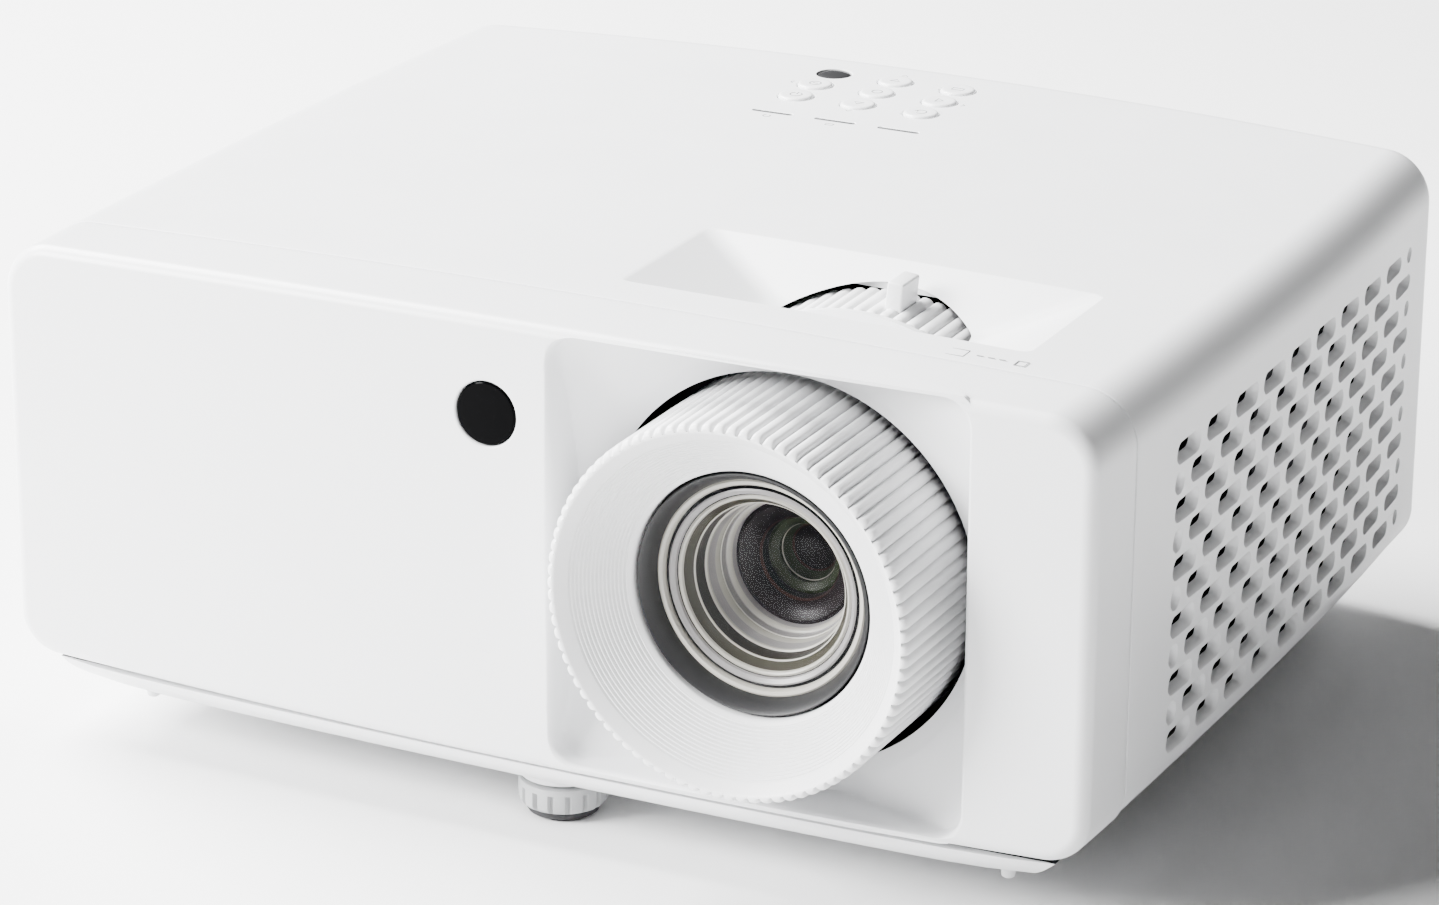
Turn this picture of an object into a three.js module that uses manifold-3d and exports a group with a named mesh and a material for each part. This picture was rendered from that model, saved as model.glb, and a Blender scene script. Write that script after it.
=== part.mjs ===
// Home projector as an assembly of separate pieces.
// Millimetres, +Z up, the lens looks along -Y. The floor is z = 0 and the whole part's box is
// centred on x = 0 and y = 0. Lengths below are taken from the middle of the front face, which
// is y = 0 until the last step moves everything back by the same amount.
import * as THREE from 'three';
import { mergeVertices } from 'three/addons/utils/BufferGeometryUtils.js';
import Module from 'manifold-3d';

const wasm = await Module();
wasm.setup();

// ---- driving dimensions: case ----
const CASE_WIDTH = 274;
const CASE_DEPTH = 229;
const CASE_TOP = 123;
const BASE_HEIGHT = 10;
const WALL = 2.5;
const SEAM = 0.4;
const TOP_CROWN = 2;
const TOP_EDGE_RADIUS = 11;
const FACE_BOW = 3.8;
const SIDE_BOW = 2.5;
const REAR_BOW = 6;
const CORNER_RADIUS = 10;
const BEZEL_DEPTH = 24;
const FACE_BOTTOM = 19;
const BASE_SEAM_HEIGHT = 26;
const BASE_INSET = 18;
const SOLE_SETBACK = 14;

// ---- lens ----
const LENS_X = 57.5;
const LENS_Z = 70;
const POCKET_WIDTH = 98;
const POCKET_HEIGHT = 100;
const POCKET_CORNER = 6;
const POCKET_DEPTH = 16;
const POCKET_FLARE = 20;
const HOLE_RADIUS = 48;
const RING_PROTRUSION = 13;
const RING_RADIUS = 43;
const RING_LENGTH = 44;
const RING_WALL = 4;
const RING_BORE_RADIUS = 28.3;
const DISH_DEPTH = 13;
const BARREL_RADIUS = 36.5;
const BARREL_WALL = 3;
const BARREL_START = 9;
const BARREL_END = 98;
const CELL_CLEARANCE = 0.7;
const FRONT_GLASS_RADIUS = 24;
const ZOOM_GLASS_RADIUS = 21;
const ZOOM_RING_RADIUS = 48;
const ZOOM_RING_START = 56;
const ZOOM_RING_WIDTH = 17;
const ZOOM_CLEARANCE = 1.2;
const LEVER_WIDTH = 4;
const LEVER_RISE = 6;
const LEVER_ANGLE = 6;

// ---- controls on the top ----
const RECESS_LEFT = 6.5;
const RECESS_RIGHT = 105.5;
const RECESS_FRONT = 36.6;
const RECESS_BACK = 80;
const RECESS_DEPTH = 9;
const KEY_RADIUS = 4.4;
const KEY_CLEARANCE = 0.4;
const KEY_RISE = 0.6;
const KEY_TRAVEL = 0.7;
const KEY_COLUMNS = [-21, -4, 13];
const KEY_ROWS = [185.4, 196.6, 207.8];
const LIGHT_SLOT_LENGTH = 10.6;
const LIGHT_SLOT_WIDTH = 1.2;
const LIGHT_SLOT_Y = 170;
const TOP_WINDOW_RADIUS = 4.3;
const FRONT_WINDOW_RADIUS = 7.2;
const FRONT_WINDOW_X = -7;
const FRONT_WINDOW_Z = 101;

// ---- side grilles ----
const GRILLE_START = 44;
const GRILLE_PITCH = 16.9;
const GRILLE_COLUMNS = 10;
const GRILLE_ROWS = 11;
const GRILLE_ROW_PITCH = 6.72;
const GRILLE_BOTTOM = 33.2;
const GRILLE_HOLE_LENGTH = 13;
const GRILLE_HOLE_HEIGHT = 4.4;

// ---- feet ----
const FRONT_FOOT_Y = 22;
const REAR_FOOT_X = 104;
const REAR_FOOT_Y = 196;
const KNOB_RADIUS = 10.3;
const PAD_HEIGHT = 1.6;
const FOOT_SCREW_RADIUS = 3;
const FOOT_SCREW_LENGTH = 20;
const FOOT_TRAVEL = 15;
const PEG_X = 110;
const PEG_LENGTH = 4;
const PEG_RADIUS = 1.6;

// ---- inside ----
const GAP = 0.4;
const BOARD_THICKNESS = 1.6;
const ENGINE = { x: [22, 93], y: [101, 150], z: [40, 100] };
const LASER = { x: [-25, 18], y: [105, 150], z: [45, 95] };
const LASER_SINK = { x: [-78, -26], y: [100, 155], z: [40, 98] };
const FAN_SIZE = 80;
const FAN_DEPTH = 20;
const EXHAUST_FAN = { x: -130.5, y: 128, z: 66 };
const INTAKE_FAN = { x: 110, y: 150, z: 66 };
const WHEEL = { x: -4, y: 157, z: 70, radius: 24 };
const MAIN_BOARD_Y = 203;
const MAIN_BOARD = { x: [-96, 76], z: [32, 98] };
const PANEL_Y = 214;
const PANEL = { x: [-102, 82], z: [29.5, 102] };
const POWER_BOARD = { x: [-100, -8], y: [34, 92], z: 24 };
const SPEAKER = { x: [-128, -106], y: [26, 78], z: [34, 92] };

const CENTRE_Y = (CASE_DEPTH - RING_PROTRUSION) / 2;
const POCKET_ANGLE_STEPS = 48;

// ---- helpers: three.js geometry to solids and back ----
function toSolid(geometry) {
  const bare = geometry.clone();
  bare.deleteAttribute('normal');
  bare.deleteAttribute('uv');
  const merged = mergeVertices(bare, 1e-4);
  const index = Array.from(merged.index.array);
  const kept = [];
  for (let i = 0; i < index.length; i += 3) {
    const [a, b, c] = index.slice(i, i + 3);
    if (a !== b && b !== c && a !== c) kept.push(a, b, c);
  }
  return new wasm.Manifold(new wasm.Mesh({
    numProp: 3,
    vertProperties: merged.attributes.position.array,
    triVerts: new Uint32Array(kept),
  }));
}

function toGeometry(solid) {
  const mesh = solid.getMesh();
  const geometry = new THREE.BufferGeometry();
  geometry.setAttribute('position', new THREE.BufferAttribute(mesh.vertProperties, 3));
  geometry.setIndex(new THREE.BufferAttribute(mesh.triVerts, 1));
  geometry.computeVertexNormals();
  return geometry;
}

function box([x0, x1], [y0, y1], [z0, z1]) {
  const geometry = new THREE.BoxGeometry(x1 - x0, y1 - y0, z1 - z0);
  geometry.translate((x0 + x1) / 2, (y0 + y1) / 2, (z0 + z1) / 2);
  return toSolid(geometry);
}

function extrude(shape, length, curveSegments) {
  return new THREE.ExtrudeGeometry(shape, { depth: length, bevelEnabled: false, curveSegments });
}

// A shape drawn in (x, z), from y0 to y1.
function prismY(shape, y0, y1, curveSegments = 8) {
  const geometry = extrude(shape, y1 - y0, curveSegments);
  geometry.rotateX(Math.PI / 2);
  geometry.translate(0, y1, 0);
  return toSolid(geometry);
}

// A shape drawn in (x, y), from z0 to z1.
function prismZ(shape, z0, z1, curveSegments = 8) {
  const geometry = extrude(shape, z1 - z0, curveSegments);
  geometry.translate(0, 0, z0);
  return toSolid(geometry);
}

// A shape drawn in (y, z), from x0 to x1.
function prismX(shape, x0, x1, curveSegments = 8) {
  const geometry = extrude(shape, x1 - x0, curveSegments);
  const turn = new THREE.Matrix4().makeBasis(
    new THREE.Vector3(0, 1, 0),
    new THREE.Vector3(0, 0, 1),
    new THREE.Vector3(1, 0, 0),
  );
  geometry.applyMatrix4(turn);
  geometry.translate(x0, 0, 0);
  return toSolid(geometry);
}

// A closed outline of [radius, height] points, turned about its own height axis.
function turned(outline, segments) {
  const points = outline.map(([r, h]) => new THREE.Vector2(r, h));
  if (THREE.ShapeUtils.area(points) < 0) points.reverse();
  points.push(points[0].clone());
  return new THREE.LatheGeometry(points, segments);
}

function turnedY(outline, x, z, segments = 36) {
  const geometry = turned(outline, segments);
  geometry.translate(x, 0, z);
  return toSolid(geometry);
}

function turnedZ(outline, x, y, segments = 24) {
  const geometry = turned(outline, segments);
  geometry.rotateX(Math.PI / 2);
  geometry.translate(x, y, 0);
  return toSolid(geometry);
}

function turnedX(outline, y, z, segments = 32) {
  const geometry = turned(outline, segments);
  geometry.rotateZ(-Math.PI / 2);
  geometry.translate(0, y, z);
  return toSolid(geometry);
}

function rod(radius, from, to) {
  return [[0, from], [radius, from], [radius, to], [0, to]];
}

function tube(inner, outer, from, to) {
  return [[inner, from], [outer, from], [outer, to], [inner, to]];
}

function roundedRectangle(x0, x1, y0, y1, radius) {
  const shape = new THREE.Shape();
  shape.moveTo(x0 + radius, y0);
  shape.lineTo(x1 - radius, y0);
  shape.absarc(x1 - radius, y0 + radius, radius, -Math.PI / 2, 0, false);
  shape.lineTo(x1, y1 - radius);
  shape.absarc(x1 - radius, y1 - radius, radius, 0, Math.PI / 2, false);
  shape.lineTo(x0 + radius, y1);
  shape.absarc(x0 + radius, y1 - radius, radius, Math.PI / 2, Math.PI, false);
  shape.lineTo(x0, y0 + radius);
  shape.absarc(x0 + radius, y0 + radius, radius, Math.PI, 1.5 * Math.PI, false);
  return shape;
}

function union(solids) {
  return solids.reduce((all, next) => all.add(next));
}

const root = new THREE.Group();
root.position.y = -CENTRE_Y;

function material(color, roughness, metalness = 0) {
  return new THREE.MeshStandardMaterial({ color, roughness, metalness });
}

function piece(name, solid, look) {
  const mesh = new THREE.Mesh(toGeometry(solid), look());
  mesh.name = name;
  root.add(mesh);
}

const whitePlastic = () => material(0xf1f2f3, 0.38);
const greyPlastic = () => material(0xb9bcbe, 0.5);
const blackPlastic = () => material(0x17181a, 0.5);
const smokedWindow = () => material(0x0b0b0d, 0.08);
const lightPipe = () => material(0x9a9ea1, 0.3);
const opticalGlass = () => material(0xcfd8d2, 0.03);
const castMetal = () => material(0x8d9195, 0.45, 0.8);
const sheetMetal = () => material(0xb4b8bb, 0.35, 0.9);
const circuitBoard = () => material(0x1f5b3a, 0.6);
const rubber = () => material(0x2b2c2e, 0.85);
const brass = () => material(0xb9964f, 0.35, 0.9);

// ---- case ----
// The case's outer form, moved inwards by inset: its front, plan and side outlines crossed.
function caseForm(inset) {
  const half = CASE_WIDTH / 2 - inset;
  const top = CASE_TOP - inset;
  const bottom = BASE_HEIGHT + inset;
  const radius = TOP_EDGE_RADIUS - inset;
  const front = new THREE.Shape();
  const sole = CASE_WIDTH / 2 - BASE_INSET - inset / 2;
  front.moveTo(-sole, bottom);
  front.lineTo(sole, bottom);
  front.lineTo(half, BASE_SEAM_HEIGHT + inset / 2);
  front.lineTo(half, top - TOP_CROWN - radius);
  front.absarc(half - radius, top - TOP_CROWN - radius, radius, 0, Math.PI / 2, false);
  front.quadraticCurveTo(0, top + TOP_CROWN, radius - half, top - TOP_CROWN);
  front.absarc(radius - half, top - TOP_CROWN - radius, radius, Math.PI / 2, Math.PI, false);
  front.lineTo(-half, BASE_SEAM_HEIGHT + inset / 2);

  const faceSide = half - SIDE_BOW / 2;
  const rearSide = half - SIDE_BOW;
  const faceY = inset;
  const rear = CASE_DEPTH - inset;
  const corner = CORNER_RADIUS - inset;
  const faceCorner = faceSide - 3;
  const plan = new THREE.Shape();
  plan.moveTo(-faceCorner, faceY + FACE_BOW);
  plan.quadraticCurveTo(0, faceY - FACE_BOW, faceCorner, faceY + FACE_BOW);
  plan.lineTo(faceSide, faceY + FACE_BOW + 3);
  plan.quadraticCurveTo(half + SIDE_BOW, CASE_DEPTH / 2, rearSide, rear - REAR_BOW - corner);
  plan.quadraticCurveTo(rearSide, rear - REAR_BOW, rearSide - corner, rear - REAR_BOW);
  plan.quadraticCurveTo(0, rear + REAR_BOW, corner - rearSide, rear - REAR_BOW);
  plan.quadraticCurveTo(-rearSide, rear - REAR_BOW, -rearSide, rear - REAR_BOW - corner);
  plan.quadraticCurveTo(-half - SIDE_BOW, CASE_DEPTH / 2, -faceSide, faceY + FACE_BOW + 3);

  const side = new THREE.Shape();
  side.moveTo(faceY, FACE_BOTTOM + inset);
  side.lineTo(SOLE_SETBACK + inset / 2, bottom);
  side.lineTo(rear - BASE_INSET, bottom);
  side.lineTo(rear, BASE_SEAM_HEIGHT + inset);
  side.lineTo(rear, top - radius);
  side.absarc(rear - radius, top - radius, radius, 0, Math.PI / 2, false);
  side.lineTo(faceY + 2, top);
  side.lineTo(faceY, top - 2);

  return prismY(front, -CASE_DEPTH, 2 * CASE_DEPTH, 6)
    .intersect(prismZ(plan, -CASE_TOP, 2 * CASE_TOP, 6))
    .intersect(prismX(side, -CASE_WIDTH, CASE_WIDTH, 4));
}

const outerForm = caseForm(0);
const innerForm = caseForm(WALL);
const shell = outerForm.subtract(innerForm);
const WIDE = [-CASE_WIDTH, CASE_WIDTH];
const TALL = [-CASE_TOP, 2 * CASE_TOP];
const DEEP = [-CASE_DEPTH, 2 * CASE_DEPTH];

// The front pocket's hollow, grown by grow: a square well crossed with a flared cone.
function pocketHollow(grow) {
  const square = roundedRectangle(
    LENS_X - POCKET_WIDTH / 2 - grow,
    LENS_X + POCKET_WIDTH / 2 + grow,
    LENS_Z + 1.5 - POCKET_HEIGHT / 2 - grow,
    LENS_Z + 1.5 + POCKET_HEIGHT / 2 + grow,
    POCKET_CORNER,
  );
  const reach = HOLE_RADIUS + grow;
  const cone = turnedY(
    [
      [0, -POCKET_DEPTH],
      [reach + 2 * POCKET_FLARE, -POCKET_DEPTH],
      [reach, POCKET_DEPTH],
      [reach, POCKET_DEPTH + 2 * WALL],
      [0, POCKET_DEPTH + 2 * WALL],
    ],
    LENS_X,
    LENS_Z,
    POCKET_ANGLE_STEPS,
  );
  return prismY(square, -RING_PROTRUSION, POCKET_DEPTH + 2 * WALL, 4).intersect(cone);
}

function frontBezel() {
  const front = box(WIDE, [-CASE_DEPTH, BEZEL_DEPTH - SEAM / 2], [FACE_BOTTOM, 2 * CASE_TOP]);
  const funnel = pocketHollow(WALL - 0.3)
    .intersect(outerForm)
    .intersect(box(WIDE, [0.1, POCKET_DEPTH + WALL], [FACE_BOTTOM, 2 * CASE_TOP]));
  const window = turnedY(
    rod(FRONT_WINDOW_RADIUS + SEAM, -1, 3 * WALL),
    FRONT_WINDOW_X,
    FRONT_WINDOW_Z,
    32,
  );
  return shell.intersect(front).add(funnel).subtract(pocketHollow(0)).subtract(window);
}

// The sloped walls that lead down to the zoom lever's slot.
function zoomRecess() {
  const top = CASE_TOP + 1;
  const floor = CASE_TOP - RECESS_DEPTH;
  const slotHalf = ZOOM_RING_RADIUS * 0.55;
  const across = new THREE.Shape();
  across.moveTo(RECESS_LEFT - 3, top);
  across.lineTo(RECESS_LEFT, CASE_TOP - 0.5);
  across.lineTo(LENS_X - slotHalf, floor);
  across.lineTo(LENS_X + slotHalf, floor);
  across.lineTo(RECESS_RIGHT, CASE_TOP - 0.5);
  across.lineTo(RECESS_RIGHT + 3, top);
  const along = new THREE.Shape();
  along.moveTo(RECESS_FRONT, top);
  along.lineTo(RECESS_FRONT + 3, CASE_TOP - 0.5);
  along.lineTo(ZOOM_RING_START - ZOOM_CLEARANCE, floor);
  along.lineTo(ZOOM_RING_START + ZOOM_RING_WIDTH + ZOOM_CLEARANCE, floor);
  along.lineTo(RECESS_BACK, CASE_TOP - 0.5);
  along.lineTo(RECESS_BACK + 3, top);
  return prismY(across, RECESS_FRONT - 5, RECESS_BACK + 8)
    .intersect(prismX(along, RECESS_LEFT - 8, RECESS_RIGHT + 8));
}

function zoomSlot() {
  const y0 = ZOOM_RING_START - ZOOM_CLEARANCE;
  const y1 = ZOOM_RING_START + ZOOM_RING_WIDTH + ZOOM_CLEARANCE;
  return turnedY(rod(ZOOM_RING_RADIUS + ZOOM_CLEARANCE, y0, y1), LENS_X, LENS_Z, 48)
    .add(leverSweep(y0, y1));
}

// The fan-shaped opening that the lever travels in.
function leverSweep(y0, y1) {
  const reach = ZOOM_RING_RADIUS + LEVER_RISE + ZOOM_CLEARANCE;
  const half = THREE.MathUtils.degToRad(29);
  const shape = new THREE.Shape();
  shape.moveTo(LENS_X, LENS_Z);
  shape.absarc(LENS_X, LENS_Z, reach, Math.PI / 2 - half, Math.PI / 2 + half, false);
  return prismY(shape, y0, y1);
}

function gridOf(rows, columns, make) {
  const made = [];
  for (let row = 0; row < rows; row += 1) {
    for (let column = 0; column < columns; column += 1) made.push(make(row, column));
  }
  return made;
}

// One slanted vent hole, a parallelogram that runs through the side wall.
function ventHole(row, column, x0, x1) {
  const half = GRILLE_HOLE_LENGTH / 2;
  const rise = GRILLE_HOLE_HEIGHT / 2;
  const shift = row % 2 ? GRILLE_PITCH / 2 : 0;
  const y = GRILLE_START + shift + GRILLE_PITCH * (column + 0.5);
  const z = GRILLE_BOTTOM + row * GRILLE_ROW_PITCH;
  const lean = rise;
  const hole = new THREE.Shape();
  hole.moveTo(y - half, z - rise);
  hole.lineTo(y + half - lean, z - rise);
  hole.lineTo(y + half, z + rise);
  hole.lineTo(y - half + lean, z + rise);
  return prismX(hole, x0, x1);
}

function ventHoles() {
  const outside = CASE_WIDTH / 2 + 1;
  const inside = CASE_WIDTH / 2 - SIDE_BOW - 3 * WALL;
  const columns = GRILLE_COLUMNS - 1;
  const right = gridOf(GRILLE_ROWS, columns, (r, c) => ventHole(r, c, inside, outside));
  const left = gridOf(GRILLE_ROWS, columns, (r, c) => ventHole(r, c, -outside, -inside));
  return union([...right, ...left]);
}

const KEYS = [
  ['key_menu', 0, 1],
  ['key_power', 0, 0],
  ['key_up', 1, 2],
  ['key_enter', 1, 1],
  ['key_down', 1, 0],
  ['key_source', 2, 2],
  ['key_right', 2, 1],
  ['key_back', 2, 0],
];

const LIGHTS = ['power_light_pipe', 'source_light_pipe', 'heat_light_pipe'];

function keyHoles() {
  const holes = KEYS.map(([, column, row]) => turnedZ(
    rod(KEY_RADIUS + KEY_CLEARANCE, CASE_TOP - 3 * WALL, CASE_TOP + 1),
    KEY_COLUMNS[column],
    KEY_ROWS[row],
    16,
  ));
  const window = turnedZ(
    rod(TOP_WINDOW_RADIUS + SEAM, CASE_TOP - 3 * WALL, CASE_TOP + 1),
    KEY_COLUMNS[0],
    KEY_ROWS[2],
    16,
  );
  const slots = LIGHTS.map((_, i) => lightBar(i, SEAM, CASE_TOP - 3 * WALL, CASE_TOP + 1));
  return union([...holes, window, ...slots]);
}

function lightBar(i, grow, z0, z1) {
  const x = KEY_COLUMNS[i] + 1;
  const half = LIGHT_SLOT_LENGTH / 2 + grow;
  const width = LIGHT_SLOT_WIDTH / 2 + grow;
  return box([x - half, x + half], [LIGHT_SLOT_Y - width, LIGHT_SLOT_Y + width], [z0, z1]);
}

function topCover() {
  const cover = box(WIDE, [BEZEL_DEPTH + SEAM / 2, 2 * CASE_DEPTH], [BASE_SEAM_HEIGHT, 2 * CASE_TOP]);
  const floorUnderRecess = box(
    [RECESS_LEFT - 3, RECESS_RIGHT + 3],
    [RECESS_FRONT - 1, RECESS_BACK + 4],
    [CASE_TOP - RECESS_DEPTH - WALL, CASE_TOP - TOP_CROWN],
  );
  const well = floorUnderRecess.intersect(innerForm);
  const opening = box(
    [PANEL.x[0] + 3, PANEL.x[1] - 3],
    [PANEL_Y + BOARD_THICKNESS, 2 * CASE_DEPTH],
    [PANEL.z[0] + 3, PANEL.z[1] - 3],
  );
  return shell
    .intersect(cover)
    .add(well)
    .subtract(zoomRecess())
    .subtract(zoomSlot())
    .subtract(ventHoles())
    .subtract(keyHoles())
    .subtract(opening);
}

const REAR_FEET = [-REAR_FOOT_X, REAR_FOOT_X];
const SCREWS = [[-118, 60], [118, 84], [-70, 206], [60, 206]];
const INSERTS = [[-84, 110], [84, 96], [0, 190]];

function footBoss(x, y) {
  const floor = BASE_HEIGHT - 1.2;
  return turnedZ(rod(KNOB_RADIUS - 0.8, floor, BASE_HEIGHT + WALL + 12), x, y, 20);
}

function bottomCover() {
  const base = box(WIDE, [BEZEL_DEPTH + SEAM / 2, 2 * CASE_DEPTH], [0, BASE_SEAM_HEIGHT - SEAM]);
  const sole = box(WIDE, [-CASE_DEPTH, BEZEL_DEPTH + 1], [0, FACE_BOTTOM - SEAM]);
  const feet = [[0, FRONT_FOOT_Y], ...REAR_FEET.map((x) => [x, REAR_FOOT_Y])];
  const cover = shell.intersect(base.add(sole));
  const pegs = [-PEG_X, PEG_X].map((x) => turnedZ(
    rod(PEG_RADIUS, BASE_HEIGHT - PEG_LENGTH, BASE_HEIGHT + 3 * WALL),
    x,
    FRONT_FOOT_Y,
    16,
  ).subtract(innerForm));
  const bosses = feet.map(([x, y]) => footBoss(x, y));
  const screwBosses = SCREWS.map(([x, y]) => turnedZ(rod(4.4, BASE_HEIGHT + 1, BASE_HEIGHT + 9), x, y, 12));
  const posts = INSERTS.map(([x, y]) => turnedZ(rod(6, BASE_HEIGHT + 1, BASE_HEIGHT + 12), x, y, 12));
  const supports = [
    box([ENGINE.x[0] + 6, ENGINE.x[1] - 6], [112, 118], [BASE_HEIGHT + 1, ENGINE.z[0] - GAP]),
    box([ENGINE.x[0] + 6, ENGINE.x[1] - 6], [134, 140], [BASE_HEIGHT + 1, ENGINE.z[0] - GAP]),
    box([LASER_SINK.x[0] + 4, LASER.x[1] - 4], [122, 128], [BASE_HEIGHT + 1, LASER_SINK.z[0] - GAP]),
    box([POWER_BOARD.x[0] + 4, POWER_BOARD.x[1] - 4], [42, 46], [BASE_HEIGHT + 1, POWER_BOARD.z - GAP]),
    box([POWER_BOARD.x[0] + 4, POWER_BOARD.x[1] - 4], [80, 84], [BASE_HEIGHT + 1, POWER_BOARD.z - GAP]),
    box([MAIN_BOARD.x[0], MAIN_BOARD.x[1]], [MAIN_BOARD_Y - 3, MAIN_BOARD_Y + 4], [BASE_HEIGHT + 1, 30]),
  ];
  const holes = feet.map(([x, y]) => turnedZ(rod(FOOT_SCREW_RADIUS + GAP, 0, CASE_TOP / 2), x, y, 12));
  const screwHoles = SCREWS.map(([x, y]) => turnedZ(
    [[0, 0], [3.5, 0], [3.5, BASE_HEIGHT + 2.4], [1.8, BASE_HEIGHT + 2.4], [1.8, 40], [0, 40]],
    x,
    y,
    12,
  ));
  const insertHoles = INSERTS.map(([x, y]) => turnedZ(rod(3.5, 0, BASE_HEIGHT + 10.4), x, y, 12));
  return union([cover, ...pegs, ...bosses, ...screwBosses, ...posts, ...supports])
    .subtract(union([...holes, ...screwHoles, ...insertHoles]));
}

// ---- rear connectors: name, left, right, bottom, top, tongue thickness, look ----
const PORTS = [
  ['ac_inlet', -94, -67, 40, 60, 4, blackPlastic],
  ['hdmi_port_1', -52, -37, 42, 48.5, 1.2, sheetMetal],
  ['hdmi_port_2', -30, -15, 42, 48.5, 1.2, sheetMetal],
  ['usb_power_port', -8, 5, 42, 48.5, 1.6, sheetMetal],
  ['network_port', 13, 29, 41, 54, 0, sheetMetal],
  ['serial_port', -52, -21, 68, 79, 5, sheetMetal],
  ['audio_out_jack', 38, 46, 42, 50, 0, blackPlastic],
];

function portBody([, x0, x1, z0, z1, tongueHeight]) {
  const back = MAIN_BOARD_Y + BOARD_THICKNESS + GAP;
  const front = PANEL_Y + BOARD_THICKNESS + 1.5;
  const body = box([x0, x1], [back, front], [z0, z1]);
  const mouth = box([x0 + 1.2, x1 - 1.2], [front - 8, front + 1], [z0 + 1.2, z1 - 1.2]);
  const socket = body.subtract(mouth);
  if (!tongueHeight) return socket;
  const middle = (z0 + z1) / 2;
  return socket.add(box(
    [x0 + 3, x1 - 3],
    [front - 9, front - 1],
    [middle - tongueHeight / 2, middle + tongueHeight / 2],
  ));
}

function rearPanel() {
  const plate = box(PANEL.x, [PANEL_Y, PANEL_Y + BOARD_THICKNESS], PANEL.z);
  const holes = PORTS.map(([, x0, x1, z0, z1]) => box(
    [x0 - GAP, x1 + GAP],
    [PANEL_Y - 1, PANEL_Y + BOARD_THICKNESS + 1],
    [z0 - GAP, z1 + GAP],
  ));
  return plate.subtract(union(holes));
}

// ---- lens ----
function focusRing() {
  const front = -RING_PROTRUSION;
  const back = front + RING_LENGTH;
  const bore = RING_RADIUS - RING_WALL;
  const web = front + DISH_DEPTH;
  return turnedY(
    [
      [RING_RADIUS - 1.5, front],
      [RING_RADIUS, front + 1.5],
      [RING_RADIUS, back],
      [bore, back],
      [bore, web + RING_WALL],
      [RING_BORE_RADIUS, web + RING_WALL],
      [RING_BORE_RADIUS, web],
      [RING_RADIUS - 3, front],
    ],
    LENS_X,
    LENS_Z,
    48,
  );
}

const BARREL_BORE = BARREL_RADIUS - BARREL_WALL;

// The moving cell reaches through the focus ring's web and carries the front glass.
function frontLensCell() {
  const web = DISH_DEPTH - RING_PROTRUSION;
  const outer = BARREL_BORE - CELL_CLEARANCE;
  const nose = RING_BORE_RADIUS - CELL_CLEARANCE;
  const step = web + RING_WALL + 2.5;
  return turnedY(
    [
      [FRONT_GLASS_RADIUS + GAP, web + 0.5],
      [nose, web + 0.5],
      [nose, step],
      [outer, step],
      [outer, step + 20],
      [FRONT_GLASS_RADIUS - 1.5, step + 20],
      [FRONT_GLASS_RADIUS - 1.5, web + 15],
      [FRONT_GLASS_RADIUS + GAP, web + 15],
    ],
    LENS_X,
    LENS_Z,
    30,
  );
}

// A glass element: two shallow domes with a straight rim.
function glassElement(radius, y0, rim, frontDome, rearDome) {
  const steps = 4;
  const outline = [];
  for (let i = 0; i <= steps; i += 1) {
    const r = (radius * i) / steps;
    outline.push([r, y0 - frontDome * (1 - (r / radius) ** 2)]);
  }
  for (let i = steps; i >= 0; i -= 1) {
    const r = (radius * i) / steps;
    outline.push([r, y0 + rim + rearDome * (1 - (r / radius) ** 2)]);
  }
  return turnedY(outline, LENS_X, LENS_Z, 24);
}

function lensBarrel() {
  const flange = BARREL_END - 5;
  return turnedY(
    [
      [BARREL_BORE, BARREL_START],
      [BARREL_RADIUS, BARREL_START],
      [BARREL_RADIUS, flange],
      [BARREL_RADIUS + 9, flange],
      [BARREL_RADIUS + 9, BARREL_END],
      [BARREL_BORE - 3, BARREL_END],
      [BARREL_BORE - 3, flange],
      [BARREL_BORE, flange],
    ],
    LENS_X,
    LENS_Z,
  );
}

function zoomRing() {
  const y1 = ZOOM_RING_START + ZOOM_RING_WIDTH;
  const bore = BARREL_RADIUS + CELL_CLEARANCE;
  const middle = (ZOOM_RING_START + y1) / 2;
  const lever = box(
    [-LEVER_WIDTH / 2, LEVER_WIDTH / 2],
    [middle - 4, middle + 5],
    [ZOOM_RING_RADIUS - 3, ZOOM_RING_RADIUS + LEVER_RISE],
  ).rotate([0, LEVER_ANGLE, 0]).translate([LENS_X, 0, LENS_Z]);
  return turnedY(tube(bore, ZOOM_RING_RADIUS, ZOOM_RING_START, y1), LENS_X, LENS_Z, 48).add(lever);
}

function zoomLensCell() {
  const outer = BARREL_BORE - CELL_CLEARANCE;
  return turnedY(
    [
      [ZOOM_GLASS_RADIUS + GAP, 48],
      [outer, 48],
      [outer, 66],
      [ZOOM_GLASS_RADIUS - 2, 66],
      [ZOOM_GLASS_RADIUS - 2, 62],
      [ZOOM_GLASS_RADIUS + GAP, 62],
    ],
    LENS_X,
    LENS_Z,
  );
}

// A soft black ring that closes the gap between the pocket's hole and the lens.
function lensShroud() {
  const start = POCKET_DEPTH + WALL + GAP;
  const zoomFace = ZOOM_RING_START - ZOOM_CLEARANCE - 1.5;
  return turnedY(
    [
      [HOLE_RADIUS + 0.6, start],
      [HOLE_RADIUS + 2.2, start],
      [HOLE_RADIUS + 2.2, zoomFace],
      [BARREL_RADIUS + CELL_CLEARANCE, zoomFace],
      [BARREL_RADIUS + CELL_CLEARANCE, zoomFace - 2],
      [HOLE_RADIUS + 0.6, zoomFace - 2],
    ],
    LENS_X,
    LENS_Z,
  ).subtract(box(WIDE, DEEP, [CASE_TOP - RECESS_DEPTH - WALL - GAP, 2 * CASE_TOP]))
    .subtract(box(WIDE, DEEP, [0, BASE_HEIGHT + WALL + 4]));
}

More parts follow.
